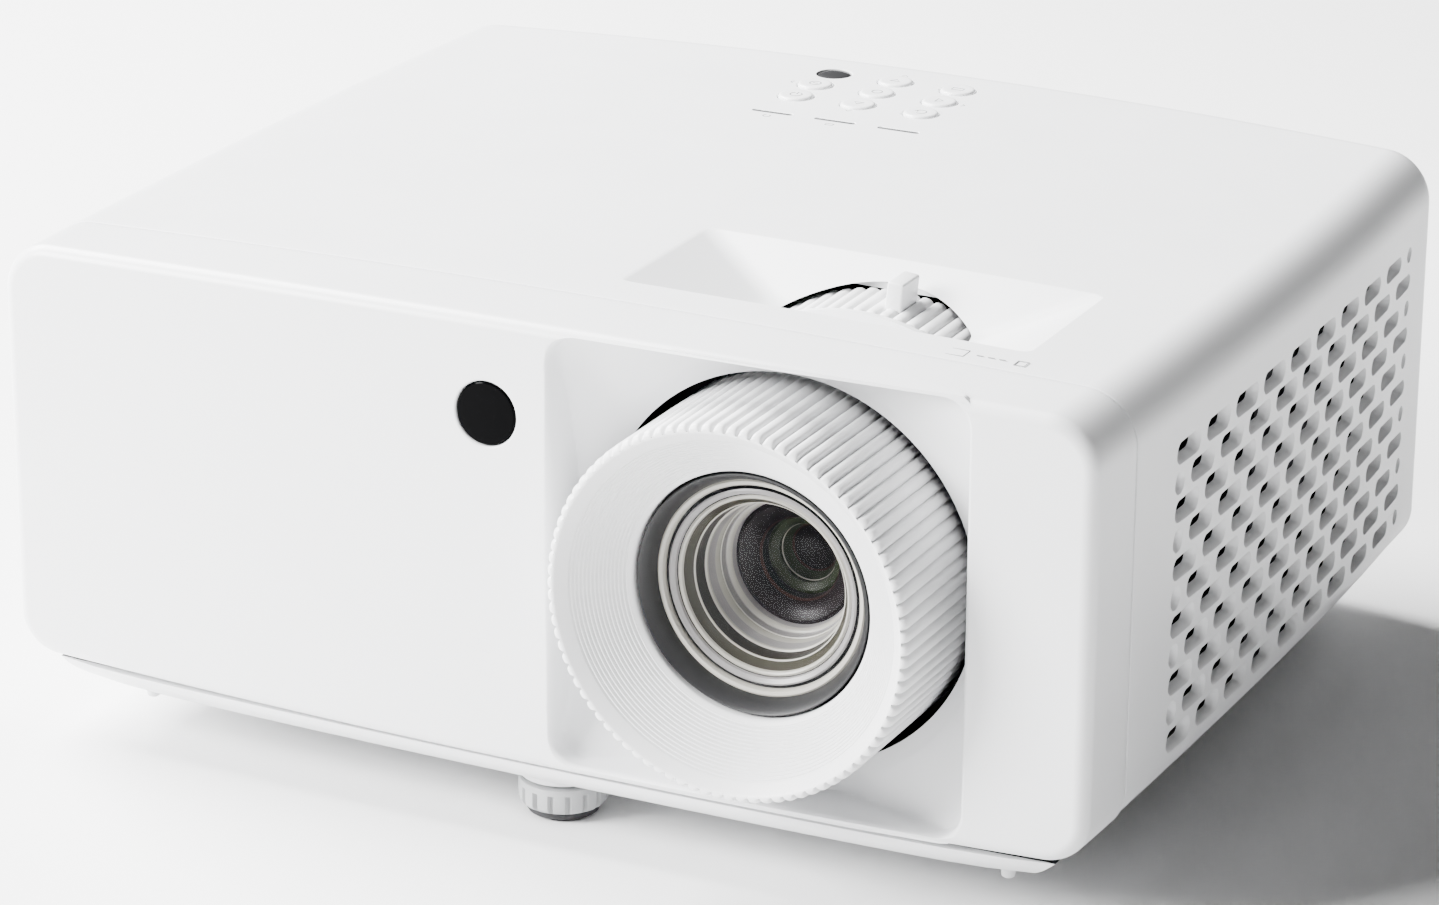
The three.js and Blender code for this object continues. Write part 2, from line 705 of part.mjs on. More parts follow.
// ---- optics and cooling ----
function lightEngine() {
  const port = turnedY(rod(20, ENGINE.y[0] - 1, ENGINE.y[0] + 30), LENS_X, LENS_Z, 32);
  return box(ENGINE.x, ENGINE.y, ENGINE.z).subtract(port);
}

function finned(x, y, z, along, count) {
  const span = { x, y, z }[along];
  const pitch = (span[1] - span[0]) / count;
  let sink = box(x, y, z);
  for (let i = 0; i < count - 1; i += 1) {
    const start = span[0] + pitch * (i + 0.6);
    const slot = { x, y: [y[0] + 5, y[1] + 1], z };
    slot[along] = [start, start + pitch * 0.6];
    const open = along === 'z' ? { ...slot, x: [x[0] - 1, x[1] + 1] } : { ...slot, z: [z[0] - 1, z[1] + 1] };
    sink = sink.subtract(box(open.x, open.y, open.z));
  }
  return sink;
}

function fanFrame({ x, y, z }) {
  const half = FAN_SIZE / 2;
  const shape = roundedRectangle(y - half, y + half, z - half, z + half, 4);
  const hub = 13;
  const spokes = [0, 1].map((turn) => {
    const along = turn ? [2, half] : [half, 2];
    return box([x, x + 3], [y - along[0], y + along[0]], [z - along[1], z + along[1]]);
  });
  const duct = turnedX(rod(half - 3, x - 1, x + FAN_DEPTH + 1), y, z, 40);
  const frame = prismX(shape, x, x + FAN_DEPTH, 3).subtract(duct);
  return union([frame, ...spokes, turnedX(rod(hub, x, x + 3), y, z, 24)]);
}

function fanRotor({ x, y, z }) {
  const hub = turnedX(rod(13, x + 3.6, x + FAN_DEPTH - 1), y, z, 24);
  const tip = FAN_SIZE / 2 - 5;
  const blades = [];
  for (let i = 0; i < 7; i += 1) {
    const blade = new THREE.BoxGeometry(11, tip - 11, 1.4);
    blade.translate(0, (tip + 11) / 2, 0);
    blade.rotateY(Math.PI / 5);
    blade.rotateX((2 * Math.PI * i) / 7);
    blade.translate(x + FAN_DEPTH / 2 + 1.2, y, z);
    blades.push(toSolid(blade));
  }
  return union([hub, ...blades]);
}

function phosphorWheel() {
  const { x, y, z, radius } = WHEEL;
  return turnedY(rod(radius, y, y + 1.2), x, z, 40).add(turnedY(rod(8, y - 2, y + 3), x, z, 24));
}

function wheelMotor() {
  const { x, y, z } = WHEEL;
  return turnedY(rod(10, y + 3.6, y + 14), x, z, 24)
    .add(box([x - 22, x + 22], [y + 8, y + 10], [z - 14, z + 14]));
}

// ---- boards ----
function mainBoard() {
  const board = box(MAIN_BOARD.x, [MAIN_BOARD_Y, MAIN_BOARD_Y + BOARD_THICKNESS], MAIN_BOARD.z);
  const chip = box([-30, -2], [MAIN_BOARD_Y - 4, MAIN_BOARD_Y + 1], [56, 84]);
  const block = box([18, 40], [MAIN_BOARD_Y - 6, MAIN_BOARD_Y + 1], [60, 78]);
  return union([board, chip, block]);
}

function powerBoard() {
  const { x, y, z } = POWER_BOARD;
  const top = z + BOARD_THICKNESS;
  const cans = [[-30, 48], [-46, 48]].map(([cx, cy]) => turnedZ(rod(7, top - 0.5, top + 30), cx, cy, 20));
  return union([
    box(x, y, [z, top]),
    box([-88, -62], [44, 72], [top - 0.5, top + 24]),
    box([-50, -22], [64, 84], [top - 0.5, top + 18]),
    ...cans,
  ]);
}

const KEY_FLANGE_TOP = CASE_TOP - TOP_CROWN / 2 - WALL - 0.6;

function keyCap(column, row) {
  const flange = KEY_RADIUS + KEY_CLEARANCE + 0.5;
  return turnedZ(
    [
      [0, KEY_FLANGE_TOP - 4],
      [1.6, KEY_FLANGE_TOP - 4],
      [1.6, KEY_FLANGE_TOP - 1.2],
      [flange, KEY_FLANGE_TOP - 1.2],
      [flange, KEY_FLANGE_TOP],
      [KEY_RADIUS, KEY_FLANGE_TOP],
      [KEY_RADIUS, CASE_TOP + KEY_RISE],
      [0, CASE_TOP + KEY_RISE],
    ],
    KEY_COLUMNS[column],
    KEY_ROWS[row],
    16,
  );
}

function keypadBoard() {
  const top = KEY_FLANGE_TOP - 4 - KEY_TRAVEL - 0.3;
  const board = box(
    [KEY_COLUMNS[0] - 8, KEY_COLUMNS[2] + 8],
    [LIGHT_SLOT_Y - 4, KEY_ROWS[2] + 8],
    [top - 1.5 - BOARD_THICKNESS, top - 1.5],
  );
  const switches = KEYS.map(([, column, row]) => {
    const x = KEY_COLUMNS[column];
    const y = KEY_ROWS[row];
    return box([x - 2.5, x + 2.5], [y - 2.5, y + 2.5], [top - 1.6, top]);
  });
  return union([board, ...switches]);
}

function speakerBox() {
  const mouth = turnedX(
    [[0, SPEAKER.x[0] + 9], [18, SPEAKER.x[0] - 1], [0, SPEAKER.x[0] - 1]],
    (SPEAKER.y[0] + SPEAKER.y[1]) / 2,
    (SPEAKER.z[0] + SPEAKER.z[1]) / 2,
    32,
  );
  return box(SPEAKER.x, SPEAKER.y, SPEAKER.z).subtract(mouth);
}

// ---- feet and fasteners ----
function footKnob(x, y) {
  return turnedZ(
    [
      [0, PAD_HEIGHT + 0.3],
      [KNOB_RADIUS, PAD_HEIGHT + 0.3],
      [KNOB_RADIUS, BASE_HEIGHT - 1.7],
      [FOOT_SCREW_RADIUS, BASE_HEIGHT - 1.7],
      [FOOT_SCREW_RADIUS, BASE_HEIGHT + FOOT_SCREW_LENGTH],
      [0, BASE_HEIGHT + FOOT_SCREW_LENGTH],
    ],
    x,
    y,
    20,
  );
}

function caseScrew([x, y]) {
  const seat = BASE_HEIGHT + 2.2;
  return turnedZ(
    [[0, seat - 2], [3, seat - 2], [3, seat], [1.4, seat], [1.4, seat + 12], [0, seat + 12]],
    x,
    y,
    12,
  );
}

function threadedInsert([x, y]) {
  return turnedZ(tube(2, 3, BASE_HEIGHT, BASE_HEIGHT + 10), x, y, 12);
}

// ---- the assembly ----
piece('front_bezel', frontBezel(), whitePlastic);
piece('top_cover', topCover(), whitePlastic);
piece('bottom_cover', bottomCover(), whitePlastic);
piece('rear_panel', rearPanel(), greyPlastic);
piece('lens_shroud', lensShroud(), blackPlastic);

piece('focus_ring', focusRing(), whitePlastic);
piece('front_lens_cell', frontLensCell(), blackPlastic);
piece('front_lens', glassElement(FRONT_GLASS_RADIUS, 5, 4, 4, 3), opticalGlass);
piece('lens_barrel', lensBarrel(), blackPlastic);
piece('zoom_ring', zoomRing(), whitePlastic);
piece('zoom_lens_cell', zoomLensCell(), blackPlastic);
piece('zoom_lens', glassElement(ZOOM_GLASS_RADIUS, 54, 4, 3, 3), opticalGlass);

const frontWindow = turnedY(
  rod(FRONT_WINDOW_RADIUS, 0.3, WALL),
  FRONT_WINDOW_X,
  FRONT_WINDOW_Z,
);
piece('front_ir_window', frontWindow, smokedWindow);
const topWindow = turnedZ(
  rod(TOP_WINDOW_RADIUS, CASE_TOP - WALL, CASE_TOP - 0.1),
  KEY_COLUMNS[0],
  KEY_ROWS[2],
);
piece('top_ir_window', topWindow, smokedWindow);
LIGHTS.forEach((name, i) => piece(name, lightBar(i, 0, CASE_TOP - 6, CASE_TOP), lightPipe));
KEYS.forEach(([name, column, row]) => piece(name, keyCap(column, row), whitePlastic));
piece('keypad_board', keypadBoard(), circuitBoard);

piece('light_engine', lightEngine(), castMetal);
piece('laser_module', box(LASER.x, LASER.y, LASER.z), castMetal);
const sink = LASER_SINK;
piece('laser_heat_sink', finned(sink.x, sink.y, sink.z, 'x', 12), sheetMetal);
piece('phosphor_wheel', phosphorWheel(), sheetMetal);
piece('wheel_motor', wheelMotor(), castMetal);
const chipY = ENGINE.y[1] + GAP;
const chipBoard = box([30, 85], [chipY, chipY + BOARD_THICKNESS], [42, 98]);
piece('imaging_board', chipBoard, circuitBoard);
const chipSink = chipY + BOARD_THICKNESS + GAP;
piece('imaging_heat_sink', finned([38, 77], [chipSink, chipSink + 26], [50, 90], 'z', 9), sheetMetal);
piece('exhaust_fan_frame', fanFrame(EXHAUST_FAN), blackPlastic);
piece('exhaust_fan_rotor', fanRotor(EXHAUST_FAN), blackPlastic);
piece('intake_fan_frame', fanFrame(INTAKE_FAN), blackPlastic);
piece('intake_fan_rotor', fanRotor(INTAKE_FAN), blackPlastic);
piece('main_board', mainBoard(), circuitBoard);
piece('power_supply', powerBoard(), circuitBoard);
piece('speaker', speakerBox(), blackPlastic);

PORTS.forEach((port) => piece(port[0], portBody(port), port[6]));

const FEET = [
  ['front_foot', 0, FRONT_FOOT_Y],
  ['left_rear_foot', -REAR_FOOT_X, REAR_FOOT_Y],
  ['right_rear_foot', REAR_FOOT_X, REAR_FOOT_Y],
];
FEET.forEach(([name, x, y]) => {
  piece(`${name}_knob`, footKnob(x, y), greyPlastic);
  piece(`${name}_pad`, turnedZ(rod(KNOB_RADIUS - 0.8, 0, PAD_HEIGHT), x, y), rubber);
});
SCREWS.forEach((place, i) => piece(`case_screw_${i + 1}`, caseScrew(place), sheetMetal));
INSERTS.forEach((place, i) => piece(`ceiling_insert_${i + 1}`, threadedInsert(place), brass));

export default root;
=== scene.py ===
import math

import bmesh
import bpy
from mathutils import Matrix, Vector


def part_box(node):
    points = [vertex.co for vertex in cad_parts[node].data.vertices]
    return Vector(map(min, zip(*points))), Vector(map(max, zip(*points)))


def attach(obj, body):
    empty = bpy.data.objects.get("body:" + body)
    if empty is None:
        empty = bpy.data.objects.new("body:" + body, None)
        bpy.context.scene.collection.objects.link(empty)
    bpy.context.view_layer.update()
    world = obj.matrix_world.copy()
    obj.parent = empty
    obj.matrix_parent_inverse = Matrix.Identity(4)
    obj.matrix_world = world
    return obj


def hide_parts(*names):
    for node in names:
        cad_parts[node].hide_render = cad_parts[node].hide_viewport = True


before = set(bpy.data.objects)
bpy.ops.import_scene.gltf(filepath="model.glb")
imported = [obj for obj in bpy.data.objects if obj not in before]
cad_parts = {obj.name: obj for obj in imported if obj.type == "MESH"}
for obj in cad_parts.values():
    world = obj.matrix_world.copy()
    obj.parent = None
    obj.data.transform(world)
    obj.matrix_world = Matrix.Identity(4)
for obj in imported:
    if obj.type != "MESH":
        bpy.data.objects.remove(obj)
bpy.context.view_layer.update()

# Lengths are in millimetres, taken from the middle of the front face at y = 0.
# place() turns them into metres in the frame.
MM = 0.001
FACE_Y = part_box("front_bezel")[0].y


def place(x, y, z):
    return (x * MM, y * MM + FACE_Y, z * MM)


def extent(node):
    """A node's lowest and highest corners in millimetres from the front face."""
    low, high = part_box(node)
    return [(p.x / MM, (p.y - FACE_Y) / MM, p.z / MM) for p in (low, high)]


def middle(node):
    low, high = extent(node)
    return [(a + b) / 2 for a, b in zip(low, high)]


# ---- sizes that the finished surfaces share ----
CASE_HALF = 137.0
CASE_TOP = 123.1
CASE_REAR = 229.0
BASE_HEIGHT = 10.0
SEAM_HEIGHT = 26.0
FACE_BOTTOM = 18.8
BEZEL_DEPTH = 24.0
SEAM_GAP = 0.6
WALL = 2.5
SOLE_HALF = 119.0
CROWN = 2.5
FACE_BOW = 3.6
REAR_BOW = 6.5
SIDE_BOW = 2.0
REAR_SIDE_BOW = 2.6
WIDEST_Y = 115.0
TOP_RADIUS = 12.0
FACE_FILLET = 3.2
REAR_FILLET = 10.0

LENS_X, _, LENS_Z = middle("lens_barrel")
POCKET_HALF_WIDTH = 49.0
POCKET_HALF_HEIGHT = 50.0
POCKET_MIDDLE_Z = LENS_Z + 1.5
POCKET_CORNER = 6.5
POCKET_DEPTH = 16.0
HOLE_RADIUS = 48.3
RING_FRONT = extent("focus_ring")[0][1]
RING_BACK = extent("focus_ring")[1][1]
RING_RADIUS = 43.0
RIBS = 90

ZOOM_FRONT = extent("zoom_ring")[0][1]
ZOOM_BACK = extent("zoom_ring")[1][1]
ZOOM_RADIUS = 48.0
ZOOM_GAP = 1.2
LEVER_ANGLE = 6.0

KEY_NODES = ["key_" + sign for sign in "menu power up enter down source right back".split()]
LIGHT_NODES = ["power_light_pipe", "source_light_pipe", "heat_light_pipe"]
FEET = ["front_foot", "left_rear_foot", "right_rear_foot"]


# ---- mesh helpers ----
def link(name, mesh):
    piece = bpy.data.objects.new(name, mesh)
    bpy.context.scene.collection.objects.link(piece)
    return piece


def solid(name, points, faces, finishes=None):
    """A closed mesh from millimetre points, its faces turned to point out."""
    mesh = bpy.data.meshes.new(name)
    mesh.from_pydata([place(*p) for p in points], [], faces)
    bm = bmesh.new()
    bm.from_mesh(mesh)
    bmesh.ops.recalc_face_normals(bm, faces=bm.faces)
    bm.to_mesh(mesh)
    bm.free()
    mesh.validate()
    if finishes:
        mesh.polygons.foreach_set("material_index", finishes)
    return link(name, mesh)


def ring_solid(name, rings):
    """Joins rings of points, each of the same length, and closes both ends at their middles."""
    count = len(rings[0])
    points = [p for ring in rings for p in ring]
    faces = []
    for i in range(len(rings) - 1):
        for j in range(count):
            a, b = i * count + j, i * count + (j + 1) % count
            faces.append((a, b, b + count, a + count))
    for first, ring in ((0, rings[0]), ((len(rings) - 1) * count, rings[-1])):
        points.append(tuple(sum(c) / count for c in zip(*ring)))
        faces += [(first + j, first + (j + 1) % count, len(points) - 1) for j in range(count)]
    return solid(name, points, faces)


AXES = {
    "x": lambda r, a, h: (h, r * math.cos(a), r * math.sin(a)),
    "y": lambda r, a, h: (r * math.cos(a), h, r * math.sin(a)),
    "z": lambda r, a, h: (r * math.cos(a), r * math.sin(a), h),
}


def turned(name, profile, centre, axis="z", steps=64, finishes=None):
    """Turns a closed outline of (radius, height) points about an axis through centre."""
    points, rows, faces, kinds = [], [], [], []
    for radius, height in profile:
        on_axis = radius < 1e-6
        angles = [0.0] if on_axis else [2 * math.pi * k / steps for k in range(steps)]
        rows.append([len(points) + k for k in range(len(angles))])
        for angle in angles:
            offset = AXES[axis](radius, angle, height)
            points.append([c + o for c, o in zip(centre, offset)])
    for i, row in enumerate(rows):
        other = rows[(i + 1) % len(rows)]
        if len(row) == 1 and len(other) == 1:
            continue
        for k in range(steps):
            a, b = row[k % len(row)], row[(k + 1) % len(row)]
            c, d = other[(k + 1) % len(other)], other[k % len(other)]
            faces.append(tuple(dict.fromkeys((a, b, c, d))))
            kinds.append(finishes[i] if finishes else 0)
    return solid(name, points, faces, kinds)


def arc(cx, cy, radius, start, end, steps):
    """Points on an arc, angles in degrees."""
    turn = [math.radians(start + (end - start) * i / steps) for i in range(steps + 1)]
    return [(cx + radius * math.cos(t), cy + radius * math.sin(t)) for t in turn]


def rounded_box(name, low, high, radius, steps=3):
    """A box with all its edges rounded."""
    bm = bmesh.new()
    bmesh.ops.create_cube(bm, size=1)
    for v in bm.verts:
        v.co = Vector([a + (c + 0.5) * (b - a) for a, b, c in zip(low, high, v.co)])
    bmesh.ops.bevel(bm, geom=bm.edges[:], offset=radius, segments=steps, profile=0.5, affect="EDGES")
    points = [tuple(v.co) for v in bm.verts]
    faces = [tuple(v.index for v in f.verts) for f in bm.faces]
    bm.free()
    return solid(name, points, faces)


def bake(piece):
    """Turns a piece's live modifiers into its mesh."""
    depsgraph = bpy.context.evaluated_depsgraph_get()
    mesh = bpy.data.meshes.new_from_object(piece.evaluated_get(depsgraph))
    piece.modifiers.clear()
    piece.data = mesh
    return piece


def cut(piece, tool, operation="DIFFERENCE"):
    modifier = piece.modifiers.new("cut", "BOOLEAN")
    modifier.operation = operation
    modifier.solver = "MANIFOLD"
    modifier.object = tool
    bake(piece)
    bpy.data.objects.remove(tool)
    return piece


def join(pieces, name):
    """Loose solids put together as one mesh."""
    bm = bmesh.new()
    for piece in pieces:
        bm.from_mesh(piece.data)
        bpy.data.objects.remove(piece)
    mesh = bpy.data.meshes.new(name)
    bm.to_mesh(mesh)
    bm.free()
    return link(name, mesh)


def shade(piece, angle=32, even=False):
    """Smooth shading with sharp edges above an angle. even weighs normals by face area."""
    piece.data.polygons.foreach_set("use_smooth", [True] * len(piece.data.polygons))
    piece.data.set_sharp_from_angle(angle=math.radians(angle))
    if even:
        modifier = piece.modifiers.new("even", "WEIGHTED_NORMAL")
        modifier.keep_sharp = True
        bake(piece)
    return piece


def ready(piece, finishes, body, nodes=()):
    """Gives a finished piece its materials and body, and hides the nodes it stands for."""
    finishes = finishes if isinstance(finishes, list) else [finishes]
    kinds = [min(face.material_index, len(finishes) - 1) for face in piece.data.polygons]
    piece.data.materials.clear()
    for material in finishes:
        piece.data.materials.append(material)
    piece.data.polygons.foreach_set("material_index", kinds)
    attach(piece, body)
    if nodes:
        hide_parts(*nodes)
    return piece


# ---- materials ----
def finish(name, colour, roughness, grain=0.0, grain_size=0.5, vary=0.05, tint=0.02, **inputs):
    """A moulded or machined finish: fine grain in bump, slow changes of colour and roughness."""
    material = bpy.data.materials.new(name)
    material.use_nodes = True
    nodes, links = material.node_tree.nodes, material.node_tree.links
    shader = nodes["Principled BSDF"]
    place_node = nodes.new("ShaderNodeTexCoord")
    slow = nodes.new("ShaderNodeTexNoise")
    slow.inputs["Scale"].default_value = 45
    slow.inputs["Detail"].default_value = 4
    links.new(place_node.outputs["Object"], slow.inputs["Vector"])
    rough = nodes.new("ShaderNodeMapRange")
    rough.inputs["To Min"].default_value = max(0.0, roughness - vary)
    rough.inputs["To Max"].default_value = min(1.0, roughness + vary)
    links.new(slow.outputs["Fac"], rough.inputs["Value"])
    links.new(rough.outputs["Result"], shader.inputs["Roughness"])
    blend = nodes.new("ShaderNodeMix")
    blend.data_type = "RGBA"
    dark = [max(0.0, c * (1 - tint)) for c in colour]
    colour_sockets = [s for s in blend.inputs if s.type == "RGBA"]
    colour_sockets[0].default_value = (*dark, 1)
    colour_sockets[1].default_value = (*[min(1.0, c * (1 + tint)) for c in colour], 1)
    links.new(slow.outputs["Fac"], blend.inputs["Factor"])
    colour_out = [s for s in blend.outputs if s.type == "RGBA"][0]
    links.new(colour_out, shader.inputs["Base Color"])
    if grain:
        fine = nodes.new("ShaderNodeTexNoise")
        fine.inputs["Scale"].default_value = 1 / (grain_size * MM)
        fine.inputs["Detail"].default_value = 2
        links.new(place_node.outputs["Object"], fine.inputs["Vector"])
        bump = nodes.new("ShaderNodeBump")
        bump.inputs["Strength"].default_value = grain
        bump.inputs["Distance"].default_value = 0.1 * MM
        links.new(fine.outputs["Fac"], bump.inputs["Height"])
        links.new(bump.outputs["Normal"], shader.inputs["Normal"])
    for label, value in inputs.items():
        shader.inputs[label.replace("_", " ")].default_value = value
    return material


WHITE = finish("white_moulding", (0.80, 0.805, 0.815), 0.33, grain=0.06, grain_size=0.45)
RING_WHITE = finish("ring_white_moulding", (0.80, 0.802, 0.808), 0.36, grain=0.05, grain_size=0.4)
KEY_WHITE = finish("key_white_moulding", (0.80, 0.805, 0.815), 0.28, grain=0.03, grain_size=0.3)
PANEL_GREY = finish("panel_grey_moulding", (0.42, 0.43, 0.44), 0.42, grain=0.1, grain_size=0.5)
FOOT_GREY = finish("foot_grey_moulding", (0.40, 0.405, 0.41), 0.4, grain=0.08, grain_size=0.5)
RUBBER = finish("pad_rubber", (0.028, 0.028, 0.03), 0.8, grain=0.25, grain_size=0.6)
# Black moulding for the dark inner parts, and also painted shade on the covers' inner faces.
BLACK_AND_PAINTED_SHADE = finish("black_moulding_and_painted_inner_shade", (0.004, 0.004, 0.0045), 0.5, grain=0.15, grain_size=0.4,
               Specular_IOR_Level=0.15)
CHARCOAL = finish("lens_collar_charcoal", (0.011, 0.011, 0.012), 0.5, grain=0.35, grain_size=0.3, tint=0.1)
GLOSS_BLACK = finish("window_black", (0.001, 0.001, 0.0012), 0.06, vary=0.01, Specular_IOR_Level=0.02)
SMOKED = finish("top_window_smoke", (0.02, 0.02, 0.021), 0.3, grain=0.08, grain_size=0.3,
                Specular_IOR_Level=0.2)
LIGHT_PIPE = finish("light_pipe_grey", (0.09, 0.092, 0.095), 0.3, vary=0.04)
PRINT_GREY = finish("printed_grey", (0.16, 0.163, 0.166), 0.5, vary=0.03)
CREAM = finish("lens_ring_cream", (0.40, 0.385, 0.34), 0.3, tint=0.05)
PALE_RING = finish("lens_ring_pale", (0.26, 0.25, 0.25), 0.3, tint=0.05)
OLIVE = finish("lens_wall_olive", (0.032, 0.029, 0.019), 0.4, tint=0.2)
BROWN = finish("lens_wall_brown", (0.018, 0.015, 0.012), 0.4, tint=0.2)
DEEP_GREEN = finish("lens_coating_green", (0.018, 0.024, 0.011), 0.4, tint=0.25, Specular_IOR_Level=0.2)
DEEP_PURPLE = finish("lens_coating_purple", (0.006, 0.0035, 0.0045), 0.35, tint=0.3, Specular_IOR_Level=0.15)
DEEP_RED = finish("lens_coating_red", (0.022, 0.007, 0.005), 0.4, tint=0.4, Specular_IOR_Level=0.2)
METAL = finish("bright_sheet_metal", (0.62, 0.63, 0.64), 0.3, Metallic=1.0)
CAST = finish("cast_metal", (0.4, 0.41, 0.42), 0.5, grain=0.5, grain_size=0.7, Metallic=0.9)
BOARD = finish("circuit_board_green", (0.02, 0.11, 0.05), 0.45, grain=0.1, grain_size=1.5, tint=0.2)
BRASS = finish("insert_brass", (0.6, 0.42, 0.18), 0.3, Metallic=1.0)

# Clear enough that the rings behind it show.
GLASS = finish("coated_lens_glass", (0.02, 0.022, 0.026), 0.02, vary=0.01, Alpha=0.05, IOR=1.5)


# ---- the case's outer form ----
def half_width(y):
    fall = SIDE_BOW if y < WIDEST_Y else REAR_SIDE_BOW
    span = WIDEST_Y if y < WIDEST_Y else CASE_REAR - WIDEST_Y - 16
    return CASE_HALF - fall * min(1.0, abs(y - WIDEST_Y) / span) ** 2


def ease(t):
    t = min(1.0, max(0.0, t))
    return t * t * (3 - 2 * t)


def corner(previous, point, following, radius, steps):
    """Points of a fillet at a corner of a path."""
    p = Vector(point)
    to_a, to_b = (Vector(previous) - p), (Vector(following) - p)
    to_a.normalize()
    to_b.normalize()
    half_angle = to_a.angle(to_b) / 2
    reach = radius / math.tan(half_angle)
    centre = p + (to_a + to_b).normalized() * (radius / math.sin(half_angle))
    start, end = p + to_a * reach, p + to_b * reach
    a0 = math.atan2(*(start - centre).yx)
    a1 = math.atan2(*(end - centre).yx)
    swing = (a1 - a0 + math.pi) % (2 * math.pi) - math.pi
    turn = [a0 + swing * i / steps for i in range(steps + 1)]
    return [(centre.x + radius * math.cos(t), centre.y + radius * math.sin(t)) for t in turn]


def spread(start, end, steps):
    """Evenly spaced points after start and before end."""
    return [
        tuple(a + (b - a) * i / steps for a, b in zip(start, end))
        for i in range(1, steps)
    ]


def mirrored_loop(half):
    """Closes a right-hand half outline, from bottom middle to top middle, with its mirror."""
    return half + [(-x, z) for x, z in reversed(half[1:-1])]


def warp(x, z, bottom, bottom_bow):
    """Crowns the top and bows the bottom of a straight-sided outline."""
    rise = (z - bottom) / (CASE_TOP - bottom)
    share = (x / CASE_HALF) ** 2
    return z - CROWN * share * rise + bottom_bow * share * (1 - rise)


def path_outline(corners, bottom, bottom_bow):
    """A closed outline through corners of (x, z, radius, steps, straight steps before it)."""
    half = [corners[0][:2]]
    for i in range(1, len(corners) - 1):
        x, z, radius, steps, lead = corners[i]
        made = corner(corners[i - 1][:2], (x, z), corners[i + 1][:2], radius, steps)
        half += spread(half[-1], made[0], lead) + made
    half += spread(half[-1], corners[-1][:2], corners[-1][4]) + [corners[-1][:2]]
    return [(x, warp(x, z, bottom, bottom_bow)) for x, z in mirrored_loop(half)]


def case_outline(y, inset):
    """The covers' outline across the case at depth y."""
    half = half_width(y) - inset
    low, top = BASE_HEIGHT + inset, CASE_TOP - inset
    return path_outline(
        [
            (0, low),
            (SOLE_HALF - 0.4 * inset, low, 9.0, 6, 14),
            (half, SEAM_HEIGHT + 1 + 0.4 * inset, 9.0, 8, 3),
            (half, top, max(1.0, TOP_RADIUS - inset), 14, 16),
            (0, top, 0, 0, 30),
        ],
        low,
        0.0,
    )


def bezel_outline(y, inset):
    """The front bezel's outline, which ends above the base."""
    half = half_width(y) - inset
    low, top = FACE_BOTTOM + inset, CASE_TOP - inset
    return path_outline(
        [
            (0, low),
            (half, low, max(1.0, 10.0 - inset), 12, 26),
            (half, top, max(1.0, TOP_RADIUS - inset), 14, 16),
            (0, top, 0, 0, 30),
        ],
        low,
        1.6,
    )


def face_y(x):
    return FACE_BOW * (x / CASE_HALF) ** 2


def rear_y(x):
    return CASE_REAR - REAR_BOW * (x / CASE_HALF) ** 2


def fillet_stations(radius, steps):
    """Pairs of (inset, depth) round an edge, from the face to the side."""
    turn = [math.pi / 2 * i / steps for i in range(steps + 1)]
    return [(radius * (1 - math.sin(t)), radius * (1 - math.cos(t))) for t in turn]


def shrunk(outline, share):
    cz = sum(z for _, z in outline) / len(outline)
    return [(x * share, cz + (z - cz) * share) for x, z in outline]


FACE_SHARES = [0.02, 0.12, 0.25, 0.38, 0.5, 0.62, 0.74, 0.85, 0.94]


def bezel_shell(thickness):
    """The bezel's cup: bowed face, filleted edge, side walls with a softened rear rim."""
    rings = []

    def ring(outline, depth, bow):
        rings.append([(x, depth + face_y(x) * bow, z) for x, z in outline])

    face = bezel_outline(0, FACE_FILLET)
    for share in FACE_SHARES:
        ring(shrunk(face, share), 0, 1)
    for inset, depth in fillet_stations(FACE_FILLET, 8):
        ring(bezel_outline(depth, inset), depth, 1 - ease(depth / BEZEL_DEPTH))
    rim = BEZEL_DEPTH - SEAM_GAP / 2
    for depth in (8, 13, 18, 21):
        ring(bezel_outline(depth, 0), depth, 1 - ease(depth / BEZEL_DEPTH))
    for inset, depth in ((0, rim - 0.5), (0.12, rim - 0.15), (0.5, rim), (thickness, rim)):
        ring(bezel_outline(rim, inset), depth, 0)
    for depth in (18, 8):
        ring(bezel_outline(depth, thickness), depth, 1 - ease(depth / BEZEL_DEPTH))
    inner = bezel_outline(thickness, thickness + 1)
    for share in reversed(FACE_SHARES + [1.0]):
        ring(shrunk(inner, share), thickness + 0.3, 1)
    return ring_solid("front_bezel_shell", rings)


def cover_shell(name):
    """The covers' cup, open at the front: filleted and bowed rear wall, softened front rim."""
    rings = []

    def bow(x, depth):
        return (CASE_REAR - rear_y(x)) * ease((depth - 150) / (CASE_REAR - 150))

    def ring(outline, depth):
        rings.append([(x, depth - bow(x, depth), z) for x, z in outline])

    back = case_outline(CASE_REAR, REAR_FILLET)
    for share in FACE_SHARES:
        ring(shrunk(back, share), CASE_REAR)
    for inset, depth in fillet_stations(REAR_FILLET, 12):
        ring(case_outline(CASE_REAR - depth, inset), CASE_REAR - depth)
    rim = BEZEL_DEPTH + SEAM_GAP / 2
    for depth in range(206, 34, -12):
        ring(case_outline(depth, 0), depth)
    for inset, depth in ((0, 30), (0, rim + 0.5), (0.12, rim + 0.15), (0.5, rim), (WALL, rim)):
        ring(case_outline(depth, inset), depth)
    for depth in range(34, 210, 16):
        ring(case_outline(depth, WALL), depth)
    inner = case_outline(CASE_REAR - WALL - 8, WALL + 4)
    ring(inner, CASE_REAR - WALL - 2)
    for share in reversed(FACE_SHARES):
        ring(shrunk(inner, share), CASE_REAR - WALL)
    return ring_solid(name, rings)


def block(name, x, y, z):
    points = [(a, b, c) for a in x for b in y for c in z]
    faces = [(0, 1, 3, 2), (4, 6, 7, 5), (0, 4, 5, 1), (2, 3, 7, 6), (0, 2, 6, 4), (1, 5, 7, 3)]
    return solid(name, points, faces)


